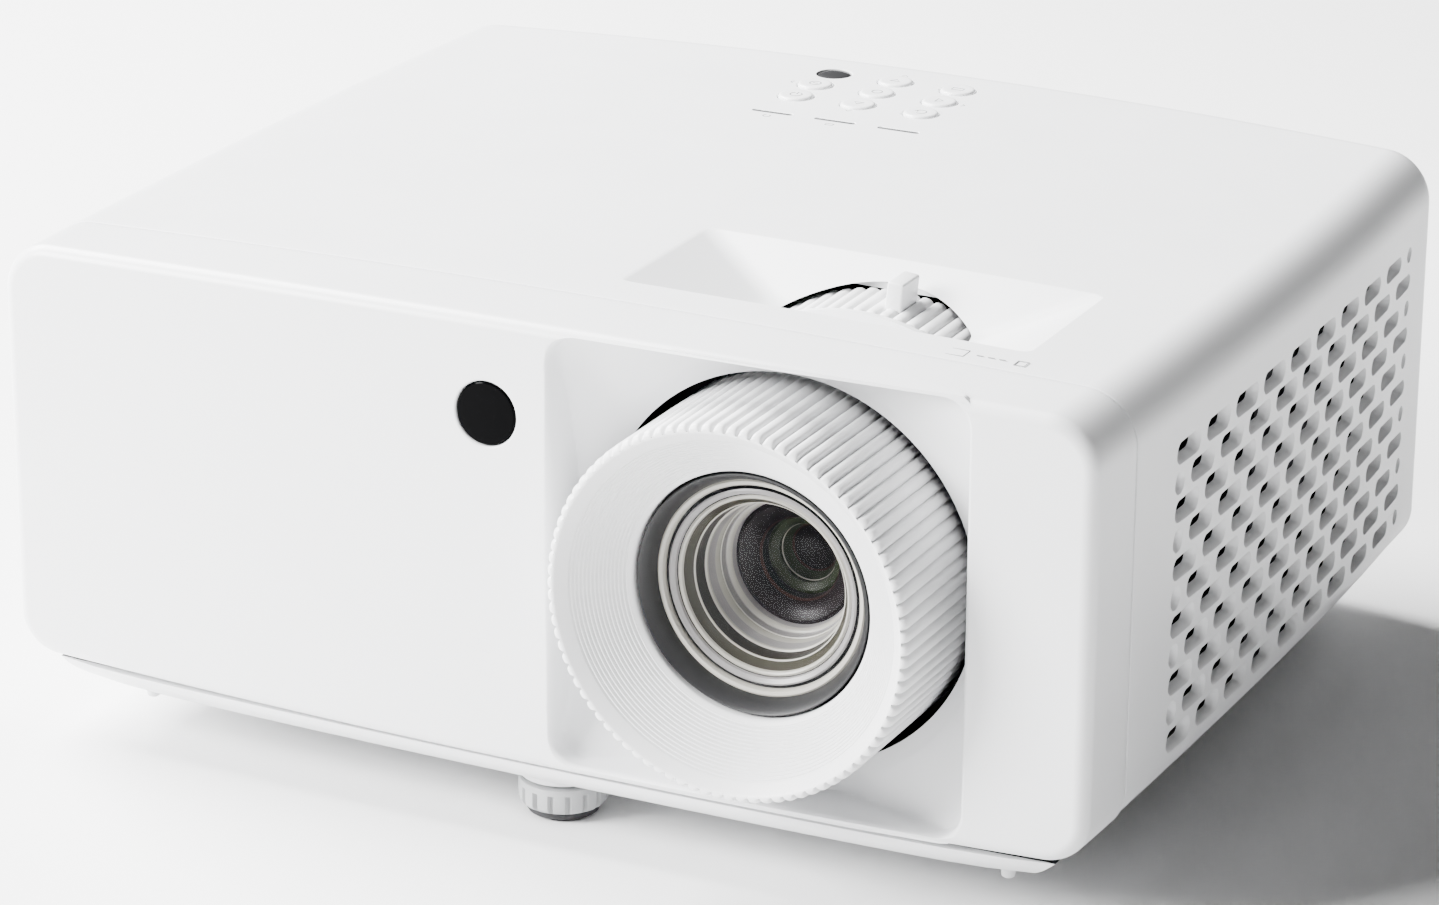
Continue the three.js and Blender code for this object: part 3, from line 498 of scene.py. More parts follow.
# ---- the square-to-round pocket round the lens ----
def square_reach(angle, half_w, half_h, radius):
    """Distance from the lens axis to a rounded rectangle's edge along an angle."""
    low, high = 0.0, 90.0
    for _ in range(30):
        r = (low + high) / 2
        x = abs(r * math.cos(angle))
        z = abs(r * math.sin(angle) - (POCKET_MIDDLE_Z - LENS_Z))
        qx, qz = x - half_w + radius, z - half_h + radius
        inside = math.hypot(max(qx, 0), max(qz, 0)) + min(max(qx, qz), 0) - radius
        low, high = (r, high) if inside < 0 else (low, r)
    return low


def soft_min(a, b, softness):
    h = max(softness - abs(a - b), 0) / softness
    return min(a, b) - h * h * softness / 4


POCKET_STEPS = 288


def pocket_ring(depth, grow, bow):
    """One section of the pocket's hollow, grown by grow."""
    reach = HOLE_RADIUS + 27 * (1 - max(0.0, depth) / POCKET_DEPTH)
    ring = []
    for k in range(POCKET_STEPS):
        angle = 2 * math.pi * k / POCKET_STEPS
        square = square_reach(angle, POCKET_HALF_WIDTH, POCKET_HALF_HEIGHT, POCKET_CORNER)
        r = soft_min(square, reach, 1.6) + grow
        x, z = LENS_X + r * math.cos(angle), LENS_Z + r * math.sin(angle)
        ring.append((x, depth + face_y(x) * bow, z))
    return ring


def pocket_hollow():
    """The hollow with a softened lip at the face and at the round hole."""
    lip = [(-18, 6), (-0.6, 6), (-0.05, 1.35), (0.12, 0.85), (0.4, 0.45), (0.8, 0.18), (1.4, 0.0)]
    rings = [pocket_ring(depth, grow, 1) for depth, grow in lip]
    walls = [2.5, 3.5, 4.5, 5.5, 6.5, 7.5, 8.5, 9.5, 10.5, 11.5, 12.5, 13.5, 14.5, 15.4]
    rings += [pocket_ring(depth, 0, 1 - ease(depth / 12)) for depth in walls]
    rings += [pocket_ring(POCKET_DEPTH, grow, 0) for grow in (0.1,)]
    rings += [pocket_ring(16.5, 0.35, 0), pocket_ring(21, 0.6, 0)]
    return ring_solid("pocket_hollow", rings)


def front_bezel():
    bezel = bezel_shell(WALL)
    funnel_walls = [1.2, 3, 5, 7, 9, 11, 13, 15, 18.2]
    funnel = ring_solid("funnel", [pocket_ring(d, 2.2, 1 - ease(d / 12)) for d in funnel_walls])
    cut(funnel, block("trim", (-200, 200), (-9, 60), (FACE_BOTTOM + 0.7, CASE_TOP - 0.75)), "INTERSECT")
    cut(bezel, funnel, "UNION")
    cut(bezel, pocket_hollow())
    x, _, z = middle("front_ir_window")
    lip = face_y(x)
    radius = 7.45
    profile = [(0, -4), (radius + 2, -4), (radius + 0.7, lip - 0.02), (radius + 0.35, lip + 0.12),
               (radius + 0.12, lip + 0.35), (radius, lip + 0.8), (radius, 9), (0, 9)]
    cut(bezel, turned("window_hole", profile, (x, 0, z), "y", 72))
    shade(bezel, 30, even=True)
    return ready(bezel, WHITE, "case", ["front_bezel"])


def front_window():
    x, _, z = middle("front_ir_window")
    lip = face_y(x)
    radius = 7.3
    dome = [(radius * s, lip + 0.15 - 0.25 * (1 - s * s)) for s in (0, 0.3, 0.55, 0.75, 0.88)]
    rim = [(radius - 0.35, lip + 0.12), (radius - 0.1, lip + 0.3), (radius, lip + 0.6)]
    profile = dome + rim + [(radius, 2.4), (0, 2.4)]
    window = shade(turned("front_ir_window_gloss", profile, (x, 0, z), "y", 72))
    return ready(window, GLOSS_BLACK, "case", ["front_ir_window"])


# ---- Geometry Nodes: pieces repeated round an axis, along a line or on a staggered grid ----
def new_tree(name, sockets):
    tree = bpy.data.node_groups.new(name, "GeometryNodeTree")
    tree.interface.new_socket("Geometry", in_out="INPUT", socket_type="NodeSocketGeometry")
    for label, kind in sockets:
        tree.interface.new_socket(label, in_out="INPUT", socket_type="NodeSocket" + kind)
    tree.interface.new_socket("Geometry", in_out="OUTPUT", socket_type="NodeSocketGeometry")
    source = tree.nodes.new("NodeGroupInput")
    return tree, source


def math_node(tree, operation, a, b=None):
    node = tree.nodes.new("ShaderNodeMath")
    node.operation = operation
    for socket, value in zip(node.inputs, (a, b)):
        if value is None:
            continue
        if isinstance(value, (int, float)):
            socket.default_value = value
        else:
            tree.links.new(value, socket)
    return node.outputs[0]


def finish_tree(tree, source, instances, centre=True):
    """Realize Instances, merge the seams, move into place, Set Material."""
    realize = tree.nodes.new("GeometryNodeRealizeInstances")
    tree.links.new(instances, realize.inputs["Geometry"])
    last = realize.outputs["Geometry"]
    if centre:
        merge = tree.nodes.new("GeometryNodeMergeByDistance")
        merge.inputs["Distance"].default_value = 0.004 * MM
        tree.links.new(last, merge.inputs["Geometry"])
        shift = tree.nodes.new("GeometryNodeTransform")
        tree.links.new(merge.outputs["Geometry"], shift.inputs["Geometry"])
        tree.links.new(source.outputs["Centre"], shift.inputs["Translation"])
        last = shift.outputs["Geometry"]
    paint = tree.nodes.new("GeometryNodeSetMaterial")
    tree.links.new(last, paint.inputs["Geometry"])
    tree.links.new(source.outputs["Finish"], paint.inputs["Material"])
    out = tree.nodes.new("NodeGroupOutput")
    tree.links.new(paint.outputs["Geometry"], out.inputs["Geometry"])


def round_tree():
    """Copies of a wedge turned round an axis and merged into one body."""
    sockets = [("Count", "Int"), ("Axis", "Vector"), ("Centre", "Vector"), ("Finish", "Material")]
    tree, source = new_tree("copies_round_an_axis", sockets)
    points = tree.nodes.new("GeometryNodePoints")
    tree.links.new(source.outputs["Count"], points.inputs["Count"])
    index = tree.nodes.new("GeometryNodeInputIndex").outputs[0]
    step = math_node(tree, "DIVIDE", 2 * math.pi, source.outputs["Count"])
    angle = math_node(tree, "MULTIPLY", index, step)
    turn = tree.nodes.new("FunctionNodeAxisAngleToRotation")
    tree.links.new(source.outputs["Axis"], turn.inputs["Axis"])
    tree.links.new(angle, turn.inputs["Angle"])
    copies = tree.nodes.new("GeometryNodeInstanceOnPoints")
    tree.links.new(points.outputs[0], copies.inputs["Points"])
    tree.links.new(source.outputs["Geometry"], copies.inputs["Instance"])
    tree.links.new(turn.outputs["Rotation"], copies.inputs["Rotation"])
    finish_tree(tree, source, copies.outputs["Instances"])
    return tree


def grid_tree():
    """Copies on a staggered grid across a side wall: columns along Y, rows along Z."""
    sockets = [("Columns", "Int"), ("Rows", "Int"), ("Column Pitch", "Float"), ("Row Pitch", "Float"),
               ("Stagger", "Float"), ("Bow", "Float"), ("Bow Middle", "Float"), ("Finish", "Material")]
    tree, source = new_tree("copies_on_a_staggered_grid", sockets)
    out = source.outputs
    count = math_node(tree, "MULTIPLY", out["Columns"], out["Rows"])
    points = tree.nodes.new("GeometryNodePoints")
    tree.links.new(count, points.inputs["Count"])
    index = tree.nodes.new("GeometryNodeInputIndex").outputs[0]
    inside = math_node(tree, "ADD", index, 0.5)
    row = math_node(tree, "FLOOR", math_node(tree, "DIVIDE", inside, out["Columns"]))
    column = math_node(tree, "SUBTRACT", index, math_node(tree, "MULTIPLY", row, out["Columns"]))
    odd = math_node(tree, "MODULO", row, 2.0)
    along = math_node(tree, "ADD", math_node(tree, "MULTIPLY", column, out["Column Pitch"]),
                      math_node(tree, "MULTIPLY", odd, out["Stagger"]))
    from_middle = math_node(tree, "SUBTRACT", along, out["Bow Middle"])
    square = math_node(tree, "MULTIPLY", from_middle, from_middle)
    outward = math_node(tree, "MULTIPLY", square, out["Bow"])
    up = math_node(tree, "MULTIPLY", row, out["Row Pitch"])
    spot = tree.nodes.new("ShaderNodeCombineXYZ")
    for value, socket in zip((outward, along, up), spot.inputs):
        tree.links.new(value, socket)
    put = tree.nodes.new("GeometryNodeSetPosition")
    tree.links.new(points.outputs[0], put.inputs["Geometry"])
    tree.links.new(spot.outputs[0], put.inputs["Position"])
    copies = tree.nodes.new("GeometryNodeInstanceOnPoints")
    tree.links.new(put.outputs["Geometry"], copies.inputs["Points"])
    tree.links.new(out["Geometry"], copies.inputs["Instance"])
    finish_tree(tree, source, copies.outputs["Instances"], centre=False)
    return tree


def line_tree():
    """Copies in a row, a fixed step apart."""
    tree, source = new_tree("copies_in_a_row", [("Count", "Int"), ("Step", "Vector"), ("Finish", "Material")])
    row = tree.nodes.new("GeometryNodeMeshLine")
    tree.links.new(source.outputs["Count"], row.inputs["Count"])
    tree.links.new(source.outputs["Step"], row.inputs["Offset"])
    copies = tree.nodes.new("GeometryNodeInstanceOnPoints")
    tree.links.new(row.outputs["Mesh"], copies.inputs["Points"])
    tree.links.new(source.outputs["Geometry"], copies.inputs["Instance"])
    finish_tree(tree, source, copies.outputs["Instances"], centre=False)
    return tree


def grow(piece, tree, **values):
    """Runs a tree on a piece and keeps the result as a plain mesh."""
    modifier = piece.modifiers.new("copies", "NODES")
    modifier.node_group = tree
    names = {s.name: s.identifier for s in tree.interface.items_tree if s.in_out == "INPUT"}
    for label, value in values.items():
        modifier[names[label.replace("_", " ")]] = value
    bake(piece)
    bm = bmesh.new()
    bm.from_mesh(piece.data)
    bmesh.ops.recalc_face_normals(bm, faces=bm.faces)
    bm.to_mesh(piece.data)
    bm.free()
    return piece


ROUND = round_tree()
GRID = grid_tree()
LINE = line_tree()


def wedge_ring(name, outline_at, count, columns, centre, axis, material):
    """A ribbed ring. outline_at(u) gives the closed (radius, height) outline across one rib."""
    points, faces = [], []
    sector = 2 * math.pi / count
    for j in range(columns + 1):
        u = 2 * j / columns - 1
        for radius, height in outline_at(u):
            points.append(AXES[axis](radius, u * sector / 2, height))
    rows = len(points) // (columns + 1)
    for j in range(columns):
        for i in range(rows):
            a, b = j * rows + i, j * rows + (i + 1) % rows
            faces.append((a, b, b + rows, a + rows))
    mesh = bpy.data.meshes.new(name)
    mesh.from_pydata([[c * MM for c in p] for p in points], [], faces)
    ring = link(name, mesh)
    direction = {"y": (0, 1, 0), "z": (0, 0, 1), "x": (1, 0, 0)}[axis]
    return grow(ring, ROUND, Count=count, Axis=direction, Centre=place(*centre), Finish=material)


# ---- top cover ----
def basin_depth(x, y):
    """How far the zoom recess lies below the top: four slopes with soft creases."""
    left = (x - 6.5) * 0.36
    right = (105.5 - x) * 0.40
    back = (80.0 - y) * 0.53
    front = (y - 36.6) * 0.72
    depth = soft_min(soft_min(left, right, 1.6), soft_min(back, front, 1.6), 1.6)
    depth = soft_min(depth, 9.2, 1.2)
    guard_radius = ZOOM_RADIUS + 0.7
    off = abs(x - LENS_X)
    guard_back = ZOOM_FRONT - ZOOM_GAP + 0.6
    if guard_back - WALL < y < guard_back and off < guard_radius:
        guard = CASE_TOP - (LENS_Z + math.sqrt(guard_radius**2 - off**2))
        depth = min(depth, max(guard, 0.35))
    return depth


def recess_tool(lift, drop, name):
    """The recess as a solid from lift above the top down to its floor, lowered by drop."""
    xs = [4 + 1.25 * i for i in range(84)]
    ys = [34 + 0.8 * i for i in range(61)]
    points, faces = [], []
    for layer in (0, 1):
        for y in ys:
            for x in xs:
                top = CASE_TOP - CROWN * (x / CASE_HALF) ** 2
                depth = basin_depth(x, y)
                floor = min(top - depth - drop, top + lift - 1.0)
                points.append((x, y, floor if layer == 0 else top + lift))
    nx, ny = len(xs), len(ys)
    half = nx * ny
    for j in range(ny - 1):
        for i in range(nx - 1):
            a = j * nx + i
            faces.append((a, a + 1, a + 1 + nx, a + nx))
            faces.append((a + half, a + nx + half, a + 1 + nx + half, a + 1 + half))
    edge = [i for i in range(nx)] + [nx - 1 + nx * j for j in range(1, ny)]
    edge += [nx * (ny - 1) + i for i in range(nx - 2, -1, -1)] + [nx * j for j in range(ny - 2, 0, -1)]
    for a, b in zip(edge, edge[1:] + edge[:1]):
        faces.append((a, b, b + half, a + half))
    return solid(name, points, faces)


def vent_outline(grow_by, length):
    """A slanted vent's outline in (y, z): a parallelogram with round corners."""
    half, rise, lean = length / 2 + grow_by, 1.95 + grow_by, 1.1
    ease_in = 0.6
    corners = [(-half - lean + ease_in, -rise), (half - lean - ease_in, -rise),
               (half + lean - ease_in, rise), (-half + lean + ease_in, rise)]
    radius = min(rise * 0.94, 1.5 + 0.75 * grow_by + 0.25)
    loop = []
    for i, point in enumerate(corners):
        loop += corner(corners[i - 1], point, corners[(i + 1) % 4], radius, 5)
    return loop


# Pairs of (distance out from the wall, growth of the vent) from the soft lip inwards.
VENT_SECTIONS = [(1.5, 1.6), (0.02, 0.80), (-0.25, 0.42), (-0.7, 0.12), (-1.3, -0.08), (-2.4, -0.28),
                 (-3.8, -0.5), (-8.0, -0.6)]
VENT_PITCH = 16.9
VENT_ROW_PITCH = 6.72
VENT_BOTTOM = 33.2


def vent_tools(side, length, first_y, columns, rows, first_row):
    """Vent cutters on one side wall, staggered row by row."""
    rings = []
    for out, grow_by in VENT_SECTIONS:
        rings.append([(side * (CASE_HALF + out), y, z) for y, z in vent_outline(grow_by, length)])
    tool = ring_solid("vent", rings)
    start = (first_y, VENT_BOTTOM + first_row * VENT_ROW_PITCH)
    tool.data.transform(Matrix.Translation((0, start[0] * MM, start[1] * MM)))
    stagger = VENT_PITCH / 2 if rows > 1 and first_row == 0 and columns > 1 else 0.0
    step = VENT_ROW_PITCH if columns > 1 else 2 * VENT_ROW_PITCH
    return grow(
        tool, GRID, Columns=columns, Rows=rows, Column_Pitch=VENT_PITCH * MM, Row_Pitch=step * MM,
        Stagger=stagger * MM, Bow=-side * SIDE_BOW / (WIDEST_Y**2) / MM,
        Bow_Middle=(WIDEST_Y - start[0]) * MM, Finish=WHITE,
    )


def top_z(x):
    return CASE_TOP - CROWN * (x / CASE_HALF) ** 2


def hole_down(name, x, y, radius, lip=0.35, floor=-9.0):
    """A round hole through the top with a softened rim."""
    top = top_z(x)
    profile = [(0, top + 3), (radius + lip + 1.5, top + 3), (radius + lip + 0.02, top + 0.02),
               (radius + 0.35 * lip, top - 0.3 * lip), (radius, top - lip), (radius, top + floor),
               (0, top + floor)]
    return turned(name, profile, (x, y, 0), "z", 40)


def pill(x, y, half_length, half_width, levels, name):
    """A rounded bar through the top. levels are (height, growth)."""
    rings = []
    for height, more in levels:
        r = half_width + more
        straight = half_length - half_width
        loop = arc(straight, 0, r, -90, 90, 8) + arc(-straight, 0, r, 90, 270, 8)
        rings.append([(x + px, y + py, height) for px, py in loop])
    return ring_solid(name, rings)


PANEL_LOW, PANEL_HIGH = extent("rear_panel")


def frame_loop(margin, radius, y):
    """A rounded rectangle inside the rear panel's edge by margin."""
    x0, z0 = PANEL_LOW[0] + margin, PANEL_LOW[2] + margin
    x1, z1 = PANEL_HIGH[0] - margin, PANEL_HIGH[2] - margin
    corners = [(x0, z0), (x1, z0), (x1, z1), (x0, z1)]
    loop = []
    for i, point in enumerate(corners):
        a, b = corners[i - 1], corners[(i + 1) % 4]
        loop += corner(a, point, b, radius, 6)
        share = radius / math.dist(point, b)
        loop += spread(loop[-1], tuple(p + (q - p) * share for p, q in zip(b, point)), 8)
    return [(x, y if y < 220 else y - 229 + rear_y(x), z) for x, z in loop]


def rear_opening():
    levels = [(2.2, 216.2), (2.2, 222), (1.9, 226), (1.5, 228.4), (0.9, 229.02), (-2, 236)]
    return ring_solid("rear_opening", [frame_loop(margin, 4.0, y) for margin, y in levels])


def rear_tunnel():
    return ring_solid("rear_tunnel", [frame_loop(0.2, 5.0, y) for y in (216.0, 222, 227.5)])


def top_cover():
    cover = cover_shell("top_cover_shell")
    well = recess_tool(-1.2, WALL, "well")
    cut(cover, well, "UNION")
    cut(cover, rear_tunnel(), "UNION")
    cut(cover, recess_tool(6, 0, "recess"))
    reach = ZOOM_RADIUS + ZOOM_GAP
    slot = turned("zoom_slot", [(0, ZOOM_FRONT - ZOOM_GAP), (reach, ZOOM_FRONT - ZOOM_GAP),
                                (reach, ZOOM_BACK + ZOOM_GAP), (0, ZOOM_BACK + ZOOM_GAP)],
                  (LENS_X, 0, LENS_Z), "y", 120)
    cut(cover, slot)
    cut(cover, rear_opening())
    for node in KEY_NODES:
        x, y, _ = middle(node)
        cut(cover, hole_down("key_hole", x, y, 4.72))
    x, y, _ = middle("top_ir_window")
    cut(cover, hole_down("top_window_hole", x, y, 4.5, lip=0.3))
    for node in LIGHT_NODES:
        x, y, _ = middle(node)
        top = top_z(x)
        levels = [(top + 2, 1.2), (top + 0.02, 0.2), (top - 0.2, 0.0), (top - 9, 0.0)]
        cut(cover, pill(x, y, 5.45, 0.8, levels, "light_slot"))
    for side in (-1, 1):
        cut(cover, vent_tools(side, 13.4, 52.4, 9, 11, 0))
        cut(cover, vent_tools(side, 5.2, 48.0, 1, 5, 1))
        cut(cover, vent_tools(side, 5.2, 200.2, 1, 6, 0))
    cut(cover, block("below", (-200, 200), (-50, 300), (-50, SEAM_HEIGHT)))
    shade(cover, 30, even=True)
    # The second material is black, laid on the cover's inner faces as painted shade.
    ready(cover, [WHITE, BLACK_AND_PAINTED_SHADE], "case", ["top_cover"])
    paint_inner_shade(cover)


# ---- bottom cover ----
def paint_inner_shade(cover):
    """Paints the covers' inner faces black as painted shade, so that the openings look into shade."""
    for face in cover.data.polygons:
        x, y, z = (face.center - Vector((0, FACE_Y, 0))) / MM
        toward = face.normal
        # Inner faces of the side walls, the ceiling and the floor get the black painted shade.
        side = abs(x) > 120 and toward.x * x < 0 and abs(toward.x) > 0.6
        above = z > 100 and abs(x) < 125 and y < 212 and toward.z < -0.6
        below = z < 20 and abs(x) < 125 and 8 < y < 222 and toward.z > 0.6
        face.material_index = int(side or above or below)


APRON_STEPS = 24


def apron_ring(half, y, z, back, sweep):
    """The apron's outline at one level: its bowed front edge, then its straight back."""
    shares = [2 * i / APRON_STEPS - 1 for i in range(APRON_STEPS + 1)]
    front = [(half * s, y + face_y(half * s) + sweep * abs(s) ** 12, z) for s in shares]
    return front + [(-half * s, back, z) for s in shares]


def bottom_cover():
    cover = cover_shell("bottom_cover_shell")
    cut(cover, block("above", (-200, 200), (-50, 300), (SEAM_HEIGHT - SEAM_GAP, 300)))
    # The front lip: a sloping apron from the sole up to the bezel's lower edge.
    outer, inner = [], []
    for t in [i / 6 for i in range(7)]:
        z = BASE_HEIGHT + (FACE_BOTTOM - SEAM_GAP - BASE_HEIGHT) * t
        y = 13.0 - 10.4 * math.sin(t * math.pi / 2)
        half = SOLE_HALF - 2 + 9.5 * t
        outer.append((z, y, half))
        inner.append((z + 0.01, y + WALL, half - WALL))
    rings = []
    for z, y, half in outer:
        rings.append(apron_ring(half, y, z, BEZEL_DEPTH + 2.5, 2.5))
    apron = ring_solid("apron", rings)
    rings = []
    for z, y, half in inner:
        lift = WALL * (1 - (z - BASE_HEIGHT) / (FACE_BOTTOM - BASE_HEIGHT))
        rings.append(apron_ring(half, y, z + lift + 0.3, BEZEL_DEPTH + 8, 0.0))
    cut(apron, ring_solid("apron_hollow", rings))
    cut(cover, apron, "UNION")
    pegs = []
    for x in (-110, 110):
        profile = [(0, 6.0), (1.0, 6.0), (1.5, 6.35), (1.6, 6.9), (1.9, 10.8), (0, 10.8)]
        pegs.append(turned("peg", profile, (x, 22, 0), "z", 24))
    bosses = []
    for foot in FEET:
        x, y, _ = middle(foot + "_knob")
        profile = [(0, 8.95), (9.3, 8.95), (9.9, 9.2), (10.4, 9.9), (10.8, 12.4), (0, 12.4)]
        bosses.append(turned("boss", profile, (x, y, 0), "z", 48))
    for extra in pegs + bosses:
        cut(cover, extra, "UNION")
    holes = []
    for foot in FEET:
        x, y, _ = middle(foot + "_knob")
        holes.append(turned("screw_way", [(0, 2), (3.6, 2), (3.6, 20), (0, 20)], (x, y, 0), "z", 24))
    for i in range(1, 5):
        x, y, _ = middle(f"case_screw_{i}")
        profile = [(0, 5), (5.2, 5), (4.2, 10.0), (3.9, 10.4), (3.9, 30), (0, 30)]
        holes.append(turned("screw_well", profile, (x, y, 0), "z", 24))
    for i in range(1, 4):
        x, y, _ = middle(f"ceiling_insert_{i}")
        holes.append(turned("insert_way", [(0, 5), (3.5, 5), (3.5, 30), (0, 30)], (x, y, 0), "z", 24))
    for hole in holes:
        cut(cover, hole)
    shade(cover, 30, even=True)
    # The second material is black, laid on the cover's inner faces as painted shade.
    ready(cover, [WHITE, BLACK_AND_PAINTED_SHADE], "case", ["bottom_cover"])
    paint_inner_shade(cover)


# ---- focus ring ----
def focus_outline(u):
    """One rib's outline: a broad round back, a narrow groove each side, the grooved dish."""
    rib = RING_RADIUS - 1.25 * abs(u) ** 4 - 0.12 * u * u
    lip = RING_RADIUS - 0.55 - 1.1 * abs(u) ** 4
    front = RING_FRONT
    outline = [(39.0, RING_BACK), (rib - 0.4, RING_BACK), (rib, RING_BACK - 0.4), (rib, 10),
               (rib, front + 2.0),
               (rib - 0.12, front + 1.1), (rib - 0.45, front + 0.45), (lip - 0.5, front + 0.08),
               (41.4, front + 0.02), (41.0, front + 0.18)]
    outer, inner = (40.8, front + 0.35), (28.9, -0.5)
    length = math.dist(outer, inner)
    grooves, steps = 15, 4
    smooth_share = 0.17
    outline.append(outer)
    outline.append(tuple(a + (b - a) * smooth_share for a, b in zip(outer, inner)))
    for k in range(grooves * steps):
        t = smooth_share + (0.97 - smooth_share) * (k + 0.5) / (grooves * steps)
        saw = (k % steps) / steps
        sink = 0.28 * math.sin(math.pi * min(1.0, saw * 1.3)) ** 2
        r = outer[0] + (inner[0] - outer[0]) * t
        h = outer[1] + (inner[1] - outer[1]) * t
        outline.append((r + sink * (inner[1] - outer[1]) / length * 0.5, h + sink))
    outline += [inner, (28.45, -0.15), (28.3, 0.3), (28.3, 4.0), (39.0, 4.0)]
    return outline


def focus_ring():
    ring = wedge_ring("focus_ring_ribbed", focus_outline, RIBS, 8, (LENS_X, 0, LENS_Z), "y", RING_WHITE)
    shade(ring, 50)
    return ready(ring, RING_WHITE, "focus_ring_body", ["focus_ring"])


# ---- lens: collar, stepped rings and coated glass ----
def lens_collar():
    """The charcoal collar and the stepped rings behind the front glass."""
    steps = [
        ((27.6, 0.6), 0), ((27.3, 0.35), 0), ((26.6, 0.9), 0), ((25.3, 3.9), 0), ((25.0, 4.9), 0),
        ((24.9, 5.2), 1), ((24.5, 4.9), 1), ((23.7, 5.0), 1), ((23.4, 5.5), 1), ((23.3, 6.4), 2),
        ((22.7, 6.6), 2), ((22.5, 5.9), 3), ((22.1, 5.7), 3), ((21.2, 6.2), 3), ((21.0, 6.9), 2),
        ((20.8, 7.0), 1), ((20.3, 6.7), 1), ((19.9, 6.9), 1), ((19.7, 7.5), 4), ((18.4, 9.6), 4),
        ((18.25, 9.5), 1), ((18.0, 9.6), 1), ((17.95, 9.9), 5), ((17.5, 13.2), 5),
        ((17.4, 13.1), 1), ((17.0, 13.3), 1), ((16.9, 13.8), 3), ((16.6, 16.2), 3), ((16.5, 16.4), 1),
        ((16.2, 18.4), 1), ((16.0, 18.5), 3), ((15.8, 20.2), 3), ((15.6, 20.2), 1), ((15.0, 20.6), 1),
        ((14.7, 21.2), 3), ((14.4, 22.6), 6), ((13.4, 22.2), 6), ((11.6, 22.9), 6), ((9.7, 24.6), 8),
        ((9.3, 25.4), 2), ((9.2, 28.0), 7), ((8.4, 27.8), 7), ((6.9, 28.7), 7), ((6.7, 29.6), 1),
        ((6.55, 29.9), 7), ((5.6, 32.6), 8), ((5.2, 33.0), 6), ((3.0, 34.6), 6), ((0, 35.2), 6),
        ((0, 46.0), 2), ((20.0, 46.0), 2), ((32.5, 26.0), 2), ((32.6, 7.2), 2), ((27.6, 7.0), 2),
    ]
    profile = [point for point, _ in steps]
    kinds = [kind for _, kind in steps]
    piece = turned("front_lens_cell_rings", profile, (LENS_X, 0, LENS_Z), "y", 128, kinds)
    shade(piece, 35)
    finishes = [CHARCOAL, CREAM, BLACK_AND_PAINTED_SHADE, PALE_RING, OLIVE, BROWN, DEEP_PURPLE, DEEP_GREEN, DEEP_RED]
    return ready(piece, finishes, "front_lens_body", ["front_lens_cell"])


def glass_dome(name, radius, edge_y, rise, thickness, body, nodes):
    """A thin domed element: outer and inner face of one curve."""
    shares = [i / 12 for i in range(13)]
    outer = [(radius * s, edge_y - rise * (1 - s * s)) for s in shares]
    inner = [(radius * s, edge_y + thickness - rise * (1 - s * s)) for s in reversed(shares)]
    glass = turned(name, outer + inner, (LENS_X, 0, LENS_Z), "y", 96)
    shade(glass, 40)
    return ready(glass, GLASS, body, nodes)


# ---- zoom ring with its lever ----
def zoom_outline(u):
    rib = ZOOM_RADIUS - 0.9 * abs(u) ** 3
    y0, y1 = ZOOM_FRONT, ZOOM_BACK
    return [(37.3, y0), (46, y0), (rib - 1.2, y0), (rib - 0.35, y0 + 0.3), (rib, y0 + 1.0),
            (rib, (y0 + y1) / 2),
            (rib, y1 - 1.0), (rib - 0.35, y1 - 0.3), (rib - 1.2, y1), (46, y1), (37.3, y1)]


def zoom_ring():
    ring = wedge_ring("zoom_ring_ribbed", zoom_outline, RIBS, 6, (LENS_X, 0, LENS_Z), "y", RING_WHITE)
    y = (ZOOM_FRONT + ZOOM_BACK) / 2
    low, high = (LENS_X - 2, y - 4, LENS_Z + ZOOM_RADIUS - 3), (LENS_X + 2, y + 5, LENS_Z + ZOOM_RADIUS + 6)
    lever = rounded_box("lever", low, high, 0.55)
    axis = Matrix.Translation(place(LENS_X, 0, LENS_Z))
    lever.data.transform(axis @ Matrix.Rotation(math.radians(LEVER_ANGLE), 4, "Y") @ axis.inverted())
    cut(ring, lever, "UNION")
    shade(ring, 42)
    return ready(ring, RING_WHITE, "zoom_ring_body", ["zoom_ring"])


# ---- keys, lights and their small printed signs ----
def key_cap(node):
    low, high = extent(node)
    x, y, _ = middle(node)
    r, top, foot = 4.4, high[2], low[2]
    profile = [(0, top - 0.12), (2.2, top - 0.09), (3.5, top), (3.9, top - 0.05), (4.2, top - 0.22),
               (r, top - 0.6), (r, foot + 4), (5.2, foot + 4), (5.2, foot + 2.9), (1.6, foot + 2.9),
               (1.5, foot + 0.2), (1.2, foot), (0, foot)]
    cap = turned(node + "_cap", profile, (x, y, 0), "z", 48)
    shade(cap, 35)
    return ready(cap, KEY_WHITE, node + "_body", [node])


def stroke(points, width, z, closed=False):
    """A thin printed line through points, as a flat closed band."""
    count = len(points)
    loop = []
    for i, p in enumerate(points):
        a = points[i - 1] if closed or i > 0 else p
        b = points[(i + 1) % count] if closed or i < count - 1 else p
        direction = Vector((b[0] - a[0], b[1] - a[1])).normalized()
        side = Vector((-direction.y, direction.x)) * width / 2
        loop.append([(p[0] + side.x, p[1] + side.y), (p[0] - side.x, p[1] - side.y)])
    verts, faces = [], []
    for left, right in loop:
        verts += [(*left, z + 0.03), (*right, z + 0.03), (*right, z - 0.05), (*left, z - 0.05)]
    spans = count if closed else count - 1
    for i in range(spans):
        a, b = 4 * i, 4 * ((i + 1) % count)
        faces += [(a + k, a + (k + 1) % 4, b + (k + 1) % 4, b + k) for k in range(4)]
    if not closed:
        end = 4 * (count - 1)
        faces += [(0, 1, 2, 3), (end, end + 1, end + 2, end + 3)]
    return solid("stroke", verts, faces)


def circle(x, y, radius, start=0, end=360, steps=28):
    points = arc(x, y, radius, start, end, steps)
    return points[:-1] if end - start == 360 else points


def oblong(x0, x1, y0, y1):
    return [(x0, y0), (x1, y0), (x1, y1), (x0, y1)]


